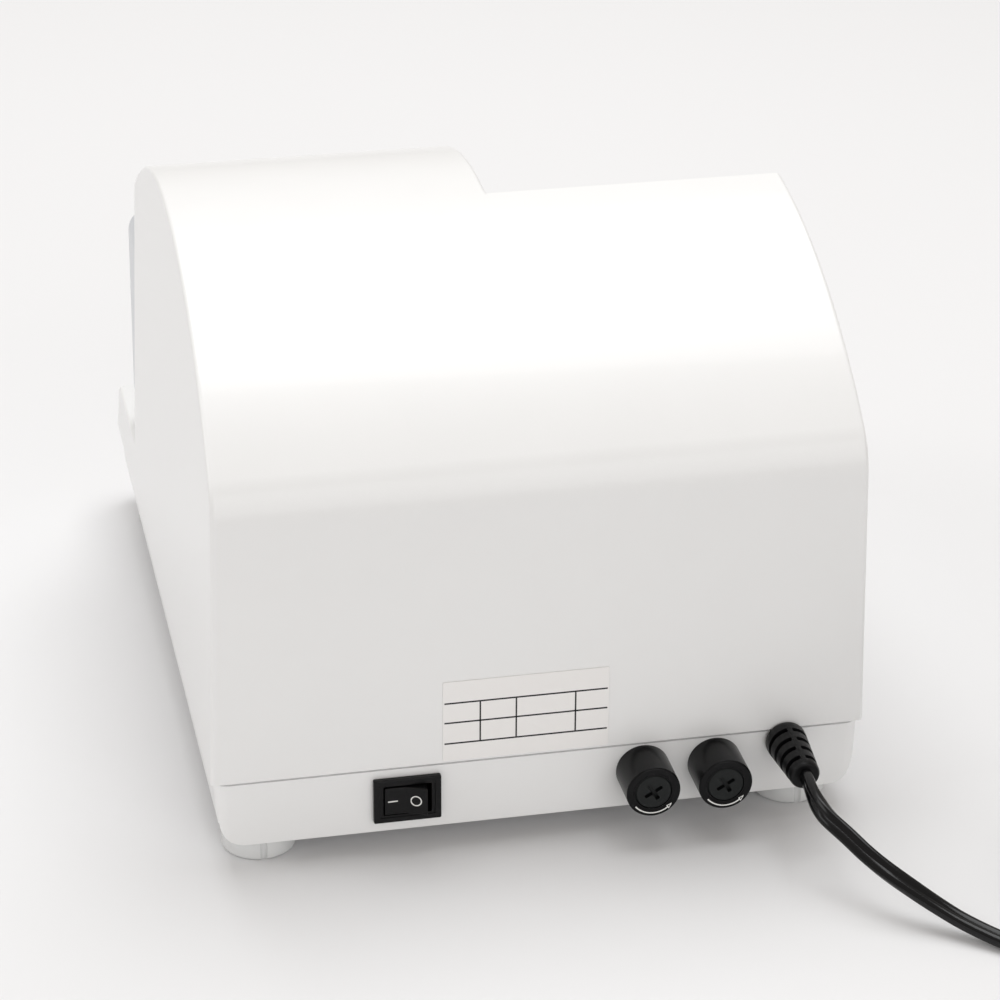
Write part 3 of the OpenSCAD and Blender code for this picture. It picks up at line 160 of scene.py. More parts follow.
def face_outward(piece):
    """Turns the faces of this closed shape outward."""
    only(piece)
    bpy.ops.object.mode_set(mode="EDIT")
    bpy.ops.mesh.select_all(action="SELECT")
    bpy.ops.mesh.normals_make_consistent(inside=False)
    bpy.ops.object.mode_set(mode="OBJECT")
    return piece


def shell_of(name, points, faces):
    """A closed object from points in mm and faces."""
    mesh = bpy.data.meshes.new(name)
    mesh.from_pydata(points, [], faces)
    piece = bpy.data.objects.new(name, mesh)
    bpy.context.scene.collection.objects.link(piece)
    return face_outward(piece)


def apply(piece, kind, **settings):
    """Adds a modifier, sets it and applies it."""
    only(piece)
    step = piece.modifiers.new(kind.lower(), kind)
    for key, value in settings.items():
        setattr(step, key, value)
    bpy.ops.object.modifier_apply(modifier=step.name)
    return piece


def settle(piece, name, body, slot, surface, *stands_for, smooth=35):
    """Brings a piece from mm to its place in metres, names it and hands it to the frame."""
    piece.matrix_world = Matrix.Scale(0.001, 4) @ piece.matrix_world
    only(piece)
    bpy.ops.object.transform_apply(location=True, rotation=True, scale=True)
    if smooth:
        bpy.ops.object.shade_smooth_by_angle(angle=radians(smooth))
        apply(piece, "WEIGHTED_NORMAL", keep_sharp=True, weight=60)
    piece.name = piece.data.name = name
    piece.data.materials.clear()
    piece.data.materials.append(surface)
    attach(piece, body)
    if stands_for:
        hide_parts(*stands_for)
    return piece


def spline(knots, steps):
    """Points of the smooth curve through the knots."""
    found = []
    last = len(knots) - 1
    for k in range(last * steps + 1):
        i = min(k // steps, last - 1)
        t = k / steps - i
        a, b, c, d = (Vector(knots[j]) for j in (max(i - 1, 0), i, i + 1, min(i + 2, last)))
        found.append(0.5 * (2 * b + (c - a) * t + (2 * a - 5 * b + 4 * c - d) * t ** 2
                            + (3 * b - a - 3 * c + d) * t ** 3))
    return found


def evened(line, gap):
    """The same line with points at an even distance."""
    found, left = [line[0]], gap
    for a, b in zip(line, line[1:]):
        span = (b - a).length
        while span >= left:
            a = a + (b - a) * (left / span)
            span = (b - a).length
            found.append(a)
            left = gap
        left -= span
    return found


def ease(t):
    """A smooth change from 0 to 1 while t goes from 0 to 1."""
    t = min(max(t, 0), 1)
    return t * t * (3 - 2 * t)


# the lead's middle line in mm: the free fall, the coil, and the way from there to the plug
FALL = [(-77.3, 148.3, 26.5), (-77.1, 152.5, 26.4), (-76.8, 157.5, 25.9), (-77.2, 162.6, 24.8),
        (-78.9, 167.9, 23), (-83.1, 174.2, 20.2), (-87.5, 181, 17.1), (-92.7, 187.2, 14),
        (-98.7, 192.8, 11), (-104.9, 198.2, 8.3), (-111.5, 204.3, 5.9), (-119.5, 211.5, 4),
        (-129, 219.7, 3), (-138.6, 228, 3.1), (-149, 235, 3.6)]
TO_PLUG = [(-209.8, 168.4, 8.6), (-205.6, 156.8, 6.9), (-204, 151, 6.85)]
COIL_MIDDLE, COIL_R, COIL_TURNS, COIL_START = (-177.491, 202.953), 42.5, 6.4, 56
COIL_LOW, COIL_STEP, LAYER_STEP = 3.6, 6.2, 6.1
TURN_POINTS, POINT_GAP = 48, 1.25


def coil_point(turn):
    """The middle of the lead after so many turns of the coil."""
    r = COIL_R - COIL_STEP * (COIL_TURNS / 2 - abs(turn - COIL_TURNS / 2))
    a = radians(COIL_START + 360 * turn)
    up = COIL_LOW + LAYER_STEP * min(max(2 * (turn - COIL_TURNS / 2) + 0.5, 0), 1)
    return Vector((COIL_MIDDLE[0] + r * cos(a), COIL_MIDDLE[1] + r * sin(a), up))


coil = [coil_point(i / TURN_POINTS) for i in range(int(COIL_TURNS * TURN_POINTS) + 1)]
way_out = (coil[-1] - coil[-2]).normalized()
tail = spline([coil[-1], coil[-1] + CORD_WIDE * way_out] + TO_PLUG, 6)
fall = spline(FALL, 4)
line = evened(fall[:-1] + coil + tail[1:], POINT_GAP)
fall_length = sum((b - a).length for a, b in zip(fall, fall[1:]))
# the jacket leaves the relief on edge, turns flat on its way down and goes into the coil on
# edge: degrees of each turn, where it starts, and over how many mm
TWISTS = ((-45, 5, 20), (-40, 34, 36), (85, fall_length - 30, 26))
gone, lean = 0.0, []
for i, p in enumerate(line):
    gone += (p - line[i - 1]).length if i else 0
    lean.append(radians(90 + sum(turn * ease((gone - start) / over) for turn, start, over in TWISTS)))
# the nearer it comes to the table, the more of the room under a flat jacket is taken up
NEAR_TABLE, TAKEN_UP_OVER = 14, 8
path = []
for p, t in zip(line, lean):
    half = hypot(CORD_WIDE / 2 * sin(t), CORD_THICK / 2 * cos(t))
    lower = (CORD_WIDE / 2 - half) * ease((NEAR_TABLE - p.z) / TAKEN_UP_OVER)
    path.append(Vector((p.x, p.y, p.z - lower)))
# a flat section with a shallow groove between the two wires
SECTION_SIDES, GROOVE_DEEP, GROOVE_HALF = 28, 0.42, 0.9
section = []
for k in range(SECTION_SIDES):
    a = 2 * pi * k / SECTION_SIDES
    wide = CORD_WIDE / 2 * (abs(cos(a)) ** 0.8) * (1 if cos(a) > 0 else -1)
    thick = CORD_THICK / 2 * (abs(sin(a)) ** 0.55) * (1 if sin(a) > 0 else -1)
    groove = GROOVE_DEEP * max(0, 1 - abs(wide) / GROOVE_HALF)
    section.append((wide, thick - (groove if thick > 0 else -groove)))


def sweep(name, points, turns, outline):
    """A tube of that outline along the points. At a turn of 0 its wide side lies level."""
    rings = []
    for i, p in enumerate(points):
        ahead = (points[min(i + 1, len(points) - 1)] - points[max(i - 1, 0)]).normalized()
        side = Vector((0, 0, 1)).cross(ahead).normalized()
        up = ahead.cross(side)
        c, s = cos(turns[i]), sin(turns[i])
        rings += [p + u * (c * side + s * up) + v * (c * up - s * side) for u, v in outline]
    n, m = len(outline), len(points)
    walls = [(i * n + j, i * n + (j + 1) % n, (i + 1) * n + (j + 1) % n, (i + 1) * n + j)
             for i in range(m - 1) for j in range(n)]
    ends = [tuple(range(n - 1, -1, -1)), tuple(range((m - 1) * n, m * n))]
    return shell_of(name, rings, walls + ends)


jacket = finish("cord_jacket", (0.003, 0.003, 0.0035), 0.17, grain=0.5, relief=0.08,
                Specular_IOR_Level=0.3)
lead = sweep("mains_lead", path, lean, section)
settle(lead, "mains_lead", "root", "cord_black", jacket, "cord", "cord_coil", "cord_tail")

# Plug: a black PVC block with a neck, moulded on the lead's end round two brass pins with
# nickel plating. It lies beside the coil.


def cad_copy(node):
    """A CAD solid's mesh as a new object in mm, with its flat faces made whole again."""
    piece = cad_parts[node].copy()
    piece.data = piece.data.copy()
    for key in list(piece.keys()):
        if key.startswith("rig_"):
            del piece[key]
    piece.parent = None
    piece.hide_render = piece.hide_viewport = False
    bpy.context.scene.collection.objects.link(piece)
    piece.matrix_world = Matrix.Identity(4)
    piece.data.transform(Matrix.Scale(1000, 4))
    only(piece)
    if piece.data.has_custom_normals:
        bpy.ops.mesh.customdata_custom_splitnormals_clear()
    bpy.ops.object.mode_set(mode="EDIT")
    bpy.ops.mesh.select_all(action="SELECT")
    bpy.ops.mesh.remove_doubles(threshold=0.002)
    bpy.ops.mesh.dissolve_limited(angle_limit=radians(0.6))
    bpy.ops.object.mode_set(mode="OBJECT")
    return piece


def soften(piece, width, segments=2, angle=32):
    """Rounds the edges that turn by more than the angle."""
    return apply(piece, "BEVEL", width=width, segments=segments, limit_method="ANGLE",
                 angle_limit=radians(angle), harden_normals=False, use_clamp_overlap=True)


def trimmed(node, width, name, body, slot, surface, segments=2, smooth=35):
    """The CAD solid with its edges broken, under a finish."""
    piece = soften(cad_copy(node), width, segments) if width else cad_copy(node)
    return settle(piece, name, body, slot, surface, node, smooth=smooth)


plug_pvc = finish("plug_pvc", (0.014, 0.014, 0.015), 0.42, grain=0.7, relief=0.35)
nickel = finish("nickel_plate", (0.62, 0.60, 0.55), 0.26, grain=0.15, relief=0.05, metallic=1.0,
                cast=(1, 1, 0.1))
plug = trimmed("plug_body", 1.6, "plug_block", "root", "plug_black", plug_pvc, segments=4)
pins = trimmed("plug_pins", 0.3, "plug_pin_pair", "root", "pin_brass", nickel)

# Wire tie: a flat strip of steel wire in a black PVC coat. It is wound once round the coil,
# and its ends are twisted together on top.
tie_pvc = finish("tie_coating", (0.02, 0.02, 0.022), 0.5, grain=0.4, relief=0.25)
trimmed("cord_tie", 0.25, "coil_tie", "root", "tie_black", tie_pvc)

# Feet: pale soft plastic discs with a moulded groove down the side that faces the nearer
# end of the machine. Each is held by a screw whose head is sunk in the foot.
REAR_Y, NOSE_Y = 125.2, -138.8
FOOT_H, FOOT_R, FOOT_EDGE, FOOT_X = 8, 11.6, 1.4, (-83.5, 86.5)
SINK_R, FOOT_WEB, FOOT_HOLE_R, GROOVE_R = 5, 3, 1.95, 1.1


def turned(name, profile, sides=64):
    """A turned piece along +Z: a disc drawn out ring by ring, from (radius, height) pairs."""
    r, z = profile[0]
    bpy.ops.object.select_all(action="DESELECT")
    bpy.ops.mesh.primitive_circle_add(vertices=sides, radius=r, fill_type="NGON", location=(0, 0, z))
    piece = bpy.context.object
    bpy.ops.object.transform_apply(location=True, rotation=True, scale=True)
    bpy.ops.object.mode_set(mode="EDIT")
    bpy.ops.mesh.select_all(action="SELECT")
    for next_r, next_z in profile[1:]:
        bpy.ops.mesh.extrude_region_move(
            TRANSFORM_OT_translate={"value": (0, 0, next_z - z), "orient_type": "GLOBAL"})
        bpy.ops.transform.resize(value=(next_r / r, next_r / r, 1), center_override=(0, 0, next_z))
        r, z = next_r, next_z
    bpy.ops.object.mode_set(mode="OBJECT")
    piece.name = name
    return face_outward(piece)


def arc(middle, r, a0, a1, steps):
    """Points on a circle's part, angles in degrees."""
    return [(middle[0] + r * cos(radians(a0 + (a1 - a0) * i / steps)),
             middle[1] + r * sin(radians(a0 + (a1 - a0) * i / steps))) for i in range(steps + 1)]


def moved(piece, place=(0, 0, 0), turn=None):
    """Turns a piece about the origin by a matrix, then moves it."""
    turn = turn or Matrix.Identity(4)
    piece.matrix_world = Matrix.Translation(Vector(place)) @ turn @ piece.matrix_world
    only(piece)
    bpy.ops.object.transform_apply(location=True, rotation=True, scale=True)
    return piece


def carve(piece, tool, operation="DIFFERENCE"):
    """Cuts, joins or crosses a piece with another, which is used up."""
    apply(piece, "BOOLEAN", object=tool, operation=operation, solver="EXACT")
    bpy.data.objects.remove(tool)
    return piece


def joined(pieces):
    """One object of several."""
    bpy.ops.object.select_all(action="DESELECT")
    for piece in pieces:
        piece.select_set(True)
    bpy.context.view_layer.objects.active = pieces[0]
    bpy.ops.object.join()
    return bpy.context.object


foot_pvc = finish("foot_pvc", (0.88, 0.89, 0.89), 0.26, grain=0.5, relief=0.12, Transmission_Weight=0.2,
                  Subsurface_Weight=0.3, Subsurface_Radius=(0.01, 0.01, 0.01), Subsurface_Scale=0.3)
feet = []
for x in FOOT_X:
    for y, way in ((REAR_Y - 15, 1), (NOSE_Y + 22, -1)):
        foot = turned("foot", [(FOOT_R - FOOT_EDGE, 0)]
                      + arc((FOOT_R - FOOT_EDGE, FOOT_EDGE), FOOT_EDGE, -70, 0, 4)
                      + [(FOOT_R - 0.4, FOOT_H - 0.3), (FOOT_R - 0.7, FOOT_H)])
        carve(foot, turned("sink", [(SINK_R, -1), (SINK_R, FOOT_H - FOOT_WEB),
                                    (FOOT_HOLE_R, FOOT_H - FOOT_WEB), (FOOT_HOLE_R, FOOT_H + 1)], 40))
        groove = turned("groove", [(GROOVE_R, -1), (GROOVE_R, FOOT_H + 1)], 24)
        carve(foot, moved(groove, (0, way * FOOT_R, 0)))
        feet.append(moved(foot, (x, y, 0)))
settle(soften(joined(feet), 0.25), "foot_set", "root", "foot_soft", foot_pvc, "feet")

# Screws: zinc-plated steel with a cross recess in the head. Four hold the feet to the tray,
# and the rest come up from under the tray into the shell.
zinc = finish("zinc_plate", (0.50, 0.50, 0.48), 0.33, grain=0.12, relief=0.08, metallic=1.0)
trimmed("foot_screws", 0.15, "foot_screw_set", "root", "screw_steel", zinc)
trimmed("shell_screws", 0.15, "shell_screw_set", "root", "screw_steel", zinc)

# Upper shell: one white ABS moulding. The dome stands on the operator's right, and beside it
# the shell steps down to the curved seat of the lid. Sides lean inward and edges are round.
WALL, SEAM, LOW = 2.8, 30.5, 24.5
HALF_W, SIDE_LEAN, EDGE_R, SPLIT_X = 102.5, 0.03, 1.4, -2.5
CREST_Y, STEP_Y, FRONT_Y, CREST_Z, NOSE_Z = 7.2, 25.2, -80.4, 176.7, 49.5
REAR_R, FRONT_R, KNEE_R, BROW_R, NOSE_R, NOSE_SLOPE = 158, 129, 20, 8, 6, 7
FRONT_LEAN = radians(5.4)
LID_R, LID_T, LID_GAP = 422, 3, 0.6
SEAT_R = LID_R - LID_T - LID_GAP
rear_c, front_c = (CREST_Y, CREST_Z - REAR_R), (CREST_Y, CREST_Z - FRONT_R)
knee_c = (REAR_Y - KNEE_R, rear_c[1] + sqrt((REAR_R - KNEE_R) ** 2 - (REAR_Y - KNEE_R - CREST_Y) ** 2))
knee_a = degrees(atan2(knee_c[1] - rear_c[1], knee_c[0] - rear_c[0]))
step_top = rear_c[1] + sqrt(REAR_R ** 2 - (STEP_Y - CREST_Y) ** 2)
# ends of the lid's curve: under the step's top, and over the nose
lid_a, lid_b = Vector((STEP_Y - 2.5, step_top - 4)), Vector((FRONT_Y - 40, NOSE_Z + LID_T + LID_GAP))
chord = lid_a - lid_b
lid_up = Vector((-chord.y, chord.x)).normalized()
lid_c = (lid_a + lid_b) / 2 - lid_up * sqrt(LID_R ** 2 - chord.length_squared / 4)
nose_tilt = atan2(NOSE_SLOPE, NOSE_Z - SEAM)


def face_y(z):
    """The dome's front face at a height."""
    return FRONT_Y + (z - NOSE_Z) * tan(FRONT_LEAN)


def nose_front(z):
    """The nose's front face at a height."""
    return NOSE_Y + NOSE_SLOPE - (NOSE_Z - z) * tan(nose_tilt)


nose_c = (nose_front(NOSE_Z - NOSE_R) + NOSE_R / cos(nose_tilt), NOSE_Z - NOSE_R)
# the brow is tangent to the front arc and to the face
along = Vector((sin(FRONT_LEAN), cos(FRONT_LEAN)))
start = (Vector((FRONT_Y, NOSE_Z)) + BROW_R * Vector((cos(FRONT_LEAN), -sin(FRONT_LEAN)))
         - Vector(front_c))
reach = -start.dot(along) + sqrt(start.dot(along) ** 2 - start.length_squared
                                 + (FRONT_R - BROW_R) ** 2)
brow_c = Vector(front_c) + start + reach * along
brow_a = degrees(atan2(brow_c.y - front_c[1], brow_c.x - front_c[0]))
# points along each arc of the outlines
KNEE_N, REAR_N, CREST_N, FRONT_N, BROW_N, LOW_N, NOSE_N = 12, 30, 6, 22, 10, 14, 8
SEAT_N = CREST_N + FRONT_N + BROW_N


def seat_z(y, r):
    """Height of the lid's curve of radius r at a place y."""
    return lid_c.y + sqrt(r * r - (y - lid_c.x) ** 2)


def seat_turn(p):
    """Angle of a point on the lid's curve, in degrees."""
    return degrees(atan2(p[1] - lid_c.y, p[0] - lid_c.x))


def outlines(d):
    """Side outlines of the case, moved inward by d: over the lid's seat, and over the dome.

    They share the rear, the nose and the point where the seat's curve passes the face."""
    y = STEP_Y + d
    step = (y, rear_c[1] + sqrt((REAR_R - d) ** 2 - (y - CREST_Y) ** 2))
    q = SEAT_R - d
    b = tan(FRONT_LEAN)
    face0 = face_y(0) + d / cos(FRONT_LEAN)
    a = face0 - lid_c.x
    h, k = lid_c.y - a * b, 1 + b * b
    cross_z = (h + sqrt(h * h - k * (a * a + lid_c.y ** 2 - q * q))) / k
    crossing = (face0 + cross_z * b, cross_z)
    end = (lid_c.x - sqrt(q * q - (NOSE_Z - d - lid_c.y) ** 2), NOSE_Z - d)
    foot_point = (face0 + (NOSE_Z - d) * b, NOSE_Z - d)
    rear = [(REAR_Y - d, LOW)] + arc(knee_c, KNEE_R - d, 0, knee_a, KNEE_N)
    step_a = degrees(atan2(step[1] - rear_c[1], step[0] - rear_c[0]))
    rear += arc(rear_c, REAR_R - d, knee_a, step_a, REAR_N)[1:]
    nose = arc(nose_c, NOSE_R - d, 90, 180 - degrees(nose_tilt), NOSE_N)
    nose += [(nose_front(LOW) + d / cos(nose_tilt), LOW)]
    t0, t1, t2 = seat_turn((y, seat_z(y, q))), seat_turn(crossing), seat_turn(end)
    low = rear + arc(lid_c, q, t0, t1, SEAT_N) + arc(lid_c, q, t1, t2, LOW_N)[1:] + nose
    down = [tuple(Vector(crossing).lerp(Vector(foot_point), i / (LOW_N - 1))) for i in range(1, LOW_N)]
    high = rear + arc(rear_c, REAR_R - d, step_a, 90, CREST_N)[1:]
    high += arc(front_c, FRONT_R - d, 90, brow_a, FRONT_N)[1:]
    high += arc(brow_c, BROW_R - d, brow_a, 180 - degrees(FRONT_LEAN), BROW_N)[1:] + [crossing]
    high += down + [end] + nose
    return low, high


STEP_I = KNEE_N + REAR_N + 2
CROSS_I = STEP_I + SEAT_N
END_I = CROSS_I + LOW_N


def case_form(name, d, r, steps, xa, xb):
    """The case as a closed form moved inward by d, its edges rounded by r.

    Rings of points run across it. The step lies at xa and xb, with a flat between them
    where these differ."""
    quarter = [radians(90 * i / steps) for i in range(steps + 1)]
    low0, high0 = outlines(d)
    side = HALF_W - d

    def ring(points, x, lean):
        return [(x + lean * (z - SEAM), y, z) for y, z in points]

    def mixed(p, q, first, last):
        return p[:first] + q[first:last + 1] + p[last + 1:]

    rings, same = [], []

    def add(points, kept=None):
        rings.append(points)
        same.append(kept)

    n = len(low0)
    join = [i < STEP_I or i == CROSS_I or i >= END_I for i in range(n)]
    for t in quarter:
        add(ring(outlines(d + r * (1 - sin(t)))[0], r * (1 - cos(t)) - side, SIDE_LEAN))
    if xa == xb:
        for t in reversed(quarter):
            inner = outlines(d + r * (1 - sin(t)))[0]
            add(ring(mixed(low0, inner, CROSS_I + 1, END_I - 1), xa - r * (1 - cos(t)), 0))
        for i, t in enumerate(quarter):
            inner = outlines(d + r * (1 - sin(t)))[1]
            add(ring(mixed(high0, inner, STEP_I, CROSS_I - 1), xb + r * (1 - cos(t)), 0), None if i else join)
    else:
        shared = mixed(low0, high0, CROSS_I, END_I)
        add(ring(low0, xa, 0))
        add(ring(shared, xa, 0), [join[i] or i < CROSS_I for i in range(n)])
        add(ring(shared, xb, 0))
        add(ring(high0, xb, 0), [join[i] or i > CROSS_I for i in range(n)])
    for t in reversed(quarter):
        add(ring(outlines(d + r * (1 - sin(t)))[1], side - r * (1 - cos(t)), -SIDE_LEAN))
    number, points = [], []
    for k, (places, kept) in enumerate(zip(rings, same)):
        row = []
        for i, p in enumerate(places):
            if kept and kept[i]:
                row.append(number[k - 1][i])
            else:
                row.append(len(points))
                points.append(p)
        number.append(row)
    faces = [tuple(reversed(number[0])), tuple(number[-1])]
    for lower, upper in zip(number, number[1:]):
        for i in range(n):
            j = (i + 1) % n
            corners = list(dict.fromkeys((lower[i], lower[j], upper[j], upper[i])))
            if len(corners) > 2:
                faces.append(tuple(corners))
    return shell_of(name, points, faces)


def block(low, high):
    """A box between two corners, in mm."""
    low, high = Vector(low), Vector(high)
    bpy.ops.object.select_all(action="DESELECT")
    bpy.ops.mesh.primitive_cube_add(size=1, location=(low + high) / 2)
    piece = bpy.context.object
    piece.scale = high - low
    bpy.ops.object.transform_apply(location=True, rotation=True, scale=True)
    return piece


def plate(outline, z0, z1):
    """A flat piece of any outline between two heights."""
    n = len(outline)
    points = [(x, y, z) for z in (z0, z1) for x, y in outline]
    faces = [tuple(range(n - 1, -1, -1)), tuple(range(n, 2 * n))]
    faces += [(i, (i + 1) % n, n + (i + 1) % n, n + i) for i in range(n)]
    return shell_of("plate", points, faces)


# a plate's outline in Y and Z, and its height along X
LEVEL_TO_X = Matrix(((0, 0, 1, 0), (1, 0, 0, 0), (0, 1, 0, 0), (0, 0, 0, 1)))


def bar(outline, x0, x1):
    """A bar along X with an outline in Y and Z."""
    return moved(plate(outline, x0, x1), turn=LEVEL_TO_X)


def rounded(w, h, r, steps=6, middle=(0, 0)):
    """Outline of a rectangle with round corners."""
    found = []
    for sx, sy, a in ((1, 1, 0), (-1, 1, 90), (-1, -1, 180), (1, -1, 270)):
        found += arc((middle[0] + sx * (w / 2 - r), middle[1] + sy * (h / 2 - r)), r, a, a + 90, steps)
    return found


def band(r0, r1, a0, a1, steps=48):
    """Outline between two circles about the lid's centre."""
    return arc(lid_c, r1, a0, a1, steps) + arc(lid_c, r0, a1, a0, steps)


# the mouth of the mixing chamber, the lead's place and the console's, as in the solids
MOUTH_X0, MOUTH_X1, MOUTH_Y0 = -89.114, -11.5, -107.4
mouth_a = seat_turn((MOUTH_Y0, seat_z(MOUTH_Y0, SEAT_R)))
lid_a0, lid_a1 = seat_turn(lid_a), seat_turn(lid_b)
CORD_X, BOOT_Z, BOOT_NECK_R, SLACK = -77.3, 26.5, 5.15, 0.3
CONSOLE_X, CONSOLE_W, CONSOLE_H, CONSOLE_V = 53.47, 92, 78, 4
# the dome's front face: X across, Y up the face, Z outward
face_turn = Matrix.Rotation(radians(90) - FRONT_LEAN, 4, "X")
on_front = Matrix.Translation((0, FRONT_Y, NOSE_Z)) @ face_turn
on_console = on_front @ Matrix.Translation((CONSOLE_X, CONSOLE_V + CONSOLE_H / 2, 0))

shell_abs = finish("shell_abs", (0.86, 0.86, 0.86), 0.30, grain=0.55, relief=0.07, vary=0.012,
                   Coat_Weight=0.15)
case = case_form("case", 0, EDGE_R, 6, SPLIT_X, SPLIT_X)
carve(case, case_form("hollow", WALL, 1, 1, SPLIT_X - WALL, SPLIT_X + WALL))
carve(case, block((-150, -200, 0), (150, 200, SEAM)))
mouth = bar(band(SEAT_R - 10, LID_R + 40, lid_a0 - 9, mouth_a), MOUTH_X0, MOUTH_X1)
carve(mouth, block((-150, -200, 0), (150, STEP_Y, 400)), "INTERSECT")
carve(case, mouth)
bay = plate(rounded(CONSOLE_W - 12, CONSOLE_H - 12, 4), -WALL - 3, 3)
carve(case, moved(bay, turn=on_console))
notch = turned("notch", [(BOOT_NECK_R + SLACK, 0), (BOOT_NECK_R + SLACK, 30)])
carve(case, moved(notch, (CORD_X, REAR_Y + 10, BOOT_Z), Matrix.Rotation(radians(90), 4, "X")))
settle(case, "dome_shell", "root", "shell_white", shell_abs, "upper_housing", smooth=30)

# Base: a shallow white ABS tray with leaning walls. It carries the switch, the fuses and the
# lead in its rear wall. It is a little smaller than the shell, with a groove along the seam.
BASE_INSET, SEAM_GAP, SEAM_IN = 0.8, 1.1, 1.4
tray = soften(cad_copy("base_pan"), 0.35)
plan_middle = (0, (REAR_Y + NOSE_Y) / 2)
both_sides = 2 * (BASE_INSET + SEAM_IN)
seam_ring = plate(rounded(220, 280, 5, middle=plan_middle), SEAM - SEAM_GAP, SEAM + 0.2)
carve(seam_ring, plate(rounded(2 * HALF_W - both_sides, REAR_Y - NOSE_Y - both_sides, 4,
                               middle=plan_middle), 20, 40))
carve(tray, seam_ring)
settle(tray, "base_tray", "root", "shell_white", shell_abs, "base_pan")

# Rating plate: a label of coated paper with a glued back, stuck on the shell's rear. Black
# rules are printed between its fields.
LABEL_X0, LABEL_X1, LABEL_Z0, LABEL_Z1 = -20.5, 31.3, 31.2, 58.6
LABEL_Y, RULE_HALF, UPRIGHT_HALF = REAR_Y + 0.3, 0.26, 0.24
RULE_Z, UPRIGHT_X = (51.2, 44.4, 37.2), (19.7, 8.5, -10.0)
paper = finish("label_paper", (0.89, 0.875, 0.865), 0.5, grain=0.12, relief=0.1, vary=0.01)
ink = finish("label_ink", (0.012, 0.012, 0.013), 0.6, grain=0.12, relief=0.1)
# plates stand against the rear face: X stays, Y goes up, Z comes out to the rear
TO_REAR = Matrix(((-1, 0, 0, 0), (0, 0, 1, 0), (0, 1, 0, 0), (0, 0, 0, 1)))
middle = ((LABEL_X0 + LABEL_X1) / -2, (LABEL_Z0 + LABEL_Z1) / 2)
sheet = rounded(LABEL_X1 - LABEL_X0, LABEL_Z1 - LABEL_Z0, 0.6, middle=middle)
label = soften(moved(plate(sheet, REAR_Y + 0.06, LABEL_Y), turn=TO_REAR), 0.06, 1)
settle(label, "rating_plate", "root", "label_paper", paper, "rating_label")
rules = [block((LABEL_X0 + 0.5, LABEL_Y - 0.02, z - RULE_HALF),
               (LABEL_X1 - 0.5, LABEL_Y + 0.03, z + RULE_HALF)) for z in RULE_Z]
rules += [block((x - UPRIGHT_HALF, LABEL_Y - 0.02, RULE_Z[2] + RULE_HALF),
                (x + UPRIGHT_HALF, LABEL_Y + 0.03, RULE_Z[0] - RULE_HALF)) for x in UPRIGHT_X]
settle(joined(rules), "rating_plate_rules", "root", "label_paper", ink, smooth=0)

# Mains switch: a snap-in black case with a see-saw rocker on cross pins. The rocker is shown
# with its I side pressed in. Its marks are printed white.
SWITCH_X, PANEL_Z, PANEL_Y = 42.4, 19.3, 124.4
BEZEL_W, BEZEL_H, BEZEL_T = 21, 15, 2.0
ROCK_Y, ROCK_TILT = 124.0, radians(11)
switch_abs = finish("switch_abs", (0.004, 0.004, 0.0045), 0.36, grain=0.25, relief=0.25,
                    Specular_IOR_Level=0.2)
white_print = finish("white_print", (0.80, 0.80, 0.78), 0.5, grain=0.2, relief=0.1)
bezel = soften(plate(rounded(BEZEL_W, BEZEL_H, 0.45), 0, BEZEL_T), 0.35, 3, 50)
carve(bezel, plate(rounded(BEZEL_W - 2.1, BEZEL_H - 2.1, 0.4), -15, 0.4), "UNION")
carve(bezel, plate(rounded(15, 10.2, 0.5), -8, 6))
carve(bezel, plate(rounded(17.2, 11.6, 0.7), BEZEL_T - 0.35, 6))
bezel = soften(bezel, 0.12, 2, 50)
blades = [block((x - 0.4, -2.4, -24), (x + 0.4, 2.4, -14)) for x in (-5, 0, 5)]
switch = joined([bezel] + blades)
moved(switch, (SWITCH_X, PANEL_Y, PANEL_Z), TO_REAR)
settle(switch, "switch_case", "root", "switch_black", switch_abs, "switch_body")
# the rocker, seen from above: X to the operator's right, Y to the rear
LOBE_X, LOBE_STEPS, ROCKER_HALF = 6.6, 8, 4.7


def lobe_y(x):
    """Height of a lobe's face at a distance from the rocker's middle."""
    t = 1 - abs(x) / LOBE_X
    return 3.9 - 1.3 * t - 0.9 * t * (1 - t)


lobes = [(-5.6, -3.0), (5.6, -3.0)]
for i in range(LOBE_STEPS, -LOBE_STEPS - 1, -1):
    lobes.append((LOBE_X * i / LOBE_STEPS, lobe_y(LOBE_X * i / LOBE_STEPS)))
rocker = soften(plate(lobes, -ROCKER_HALF, ROCKER_HALF), 0.3, 3, 40)
carve(rocker, turned("axle", [(1.2, -5.7), (1.2, 5.7)], 32), "UNION")
rock_turn = Matrix.Rotation(-ROCK_TILT, 4, "Z")
rock_place = (SWITCH_X, ROCK_Y, PANEL_Z)
moved(rocker, rock_place, rock_turn)
settle(rocker, "switch_rocker", "rocker", "rocker_black", switch_abs, "rocker")
marks = []
on_mark = plate(rounded(3.1, 0.42, 0.1, 3), 0, 0.5)
off_mark = plate(arc((0, 0), 1.8, 0, 350, 35), 0, 0.5)
carve(off_mark, plate(arc((0, 0), 1.43, 0, 350, 35), -1, 1))
for mark, x in ((on_mark, 4.2), (off_mark, -3.1)):
    slope = atan2(lobe_y(x + 0.5) - lobe_y(x - 0.5), 1)
    lay = Matrix.Translation((x, lobe_y(x) - 0.44, 0)) @ Matrix.Rotation(slope, 4, "Z") @ TO_REAR
    marks.append(moved(mark, rock_place, rock_turn @ lay))
settle(joined(marks), "switch_marks", "rocker", "rocker_black", white_print, smooth=0)

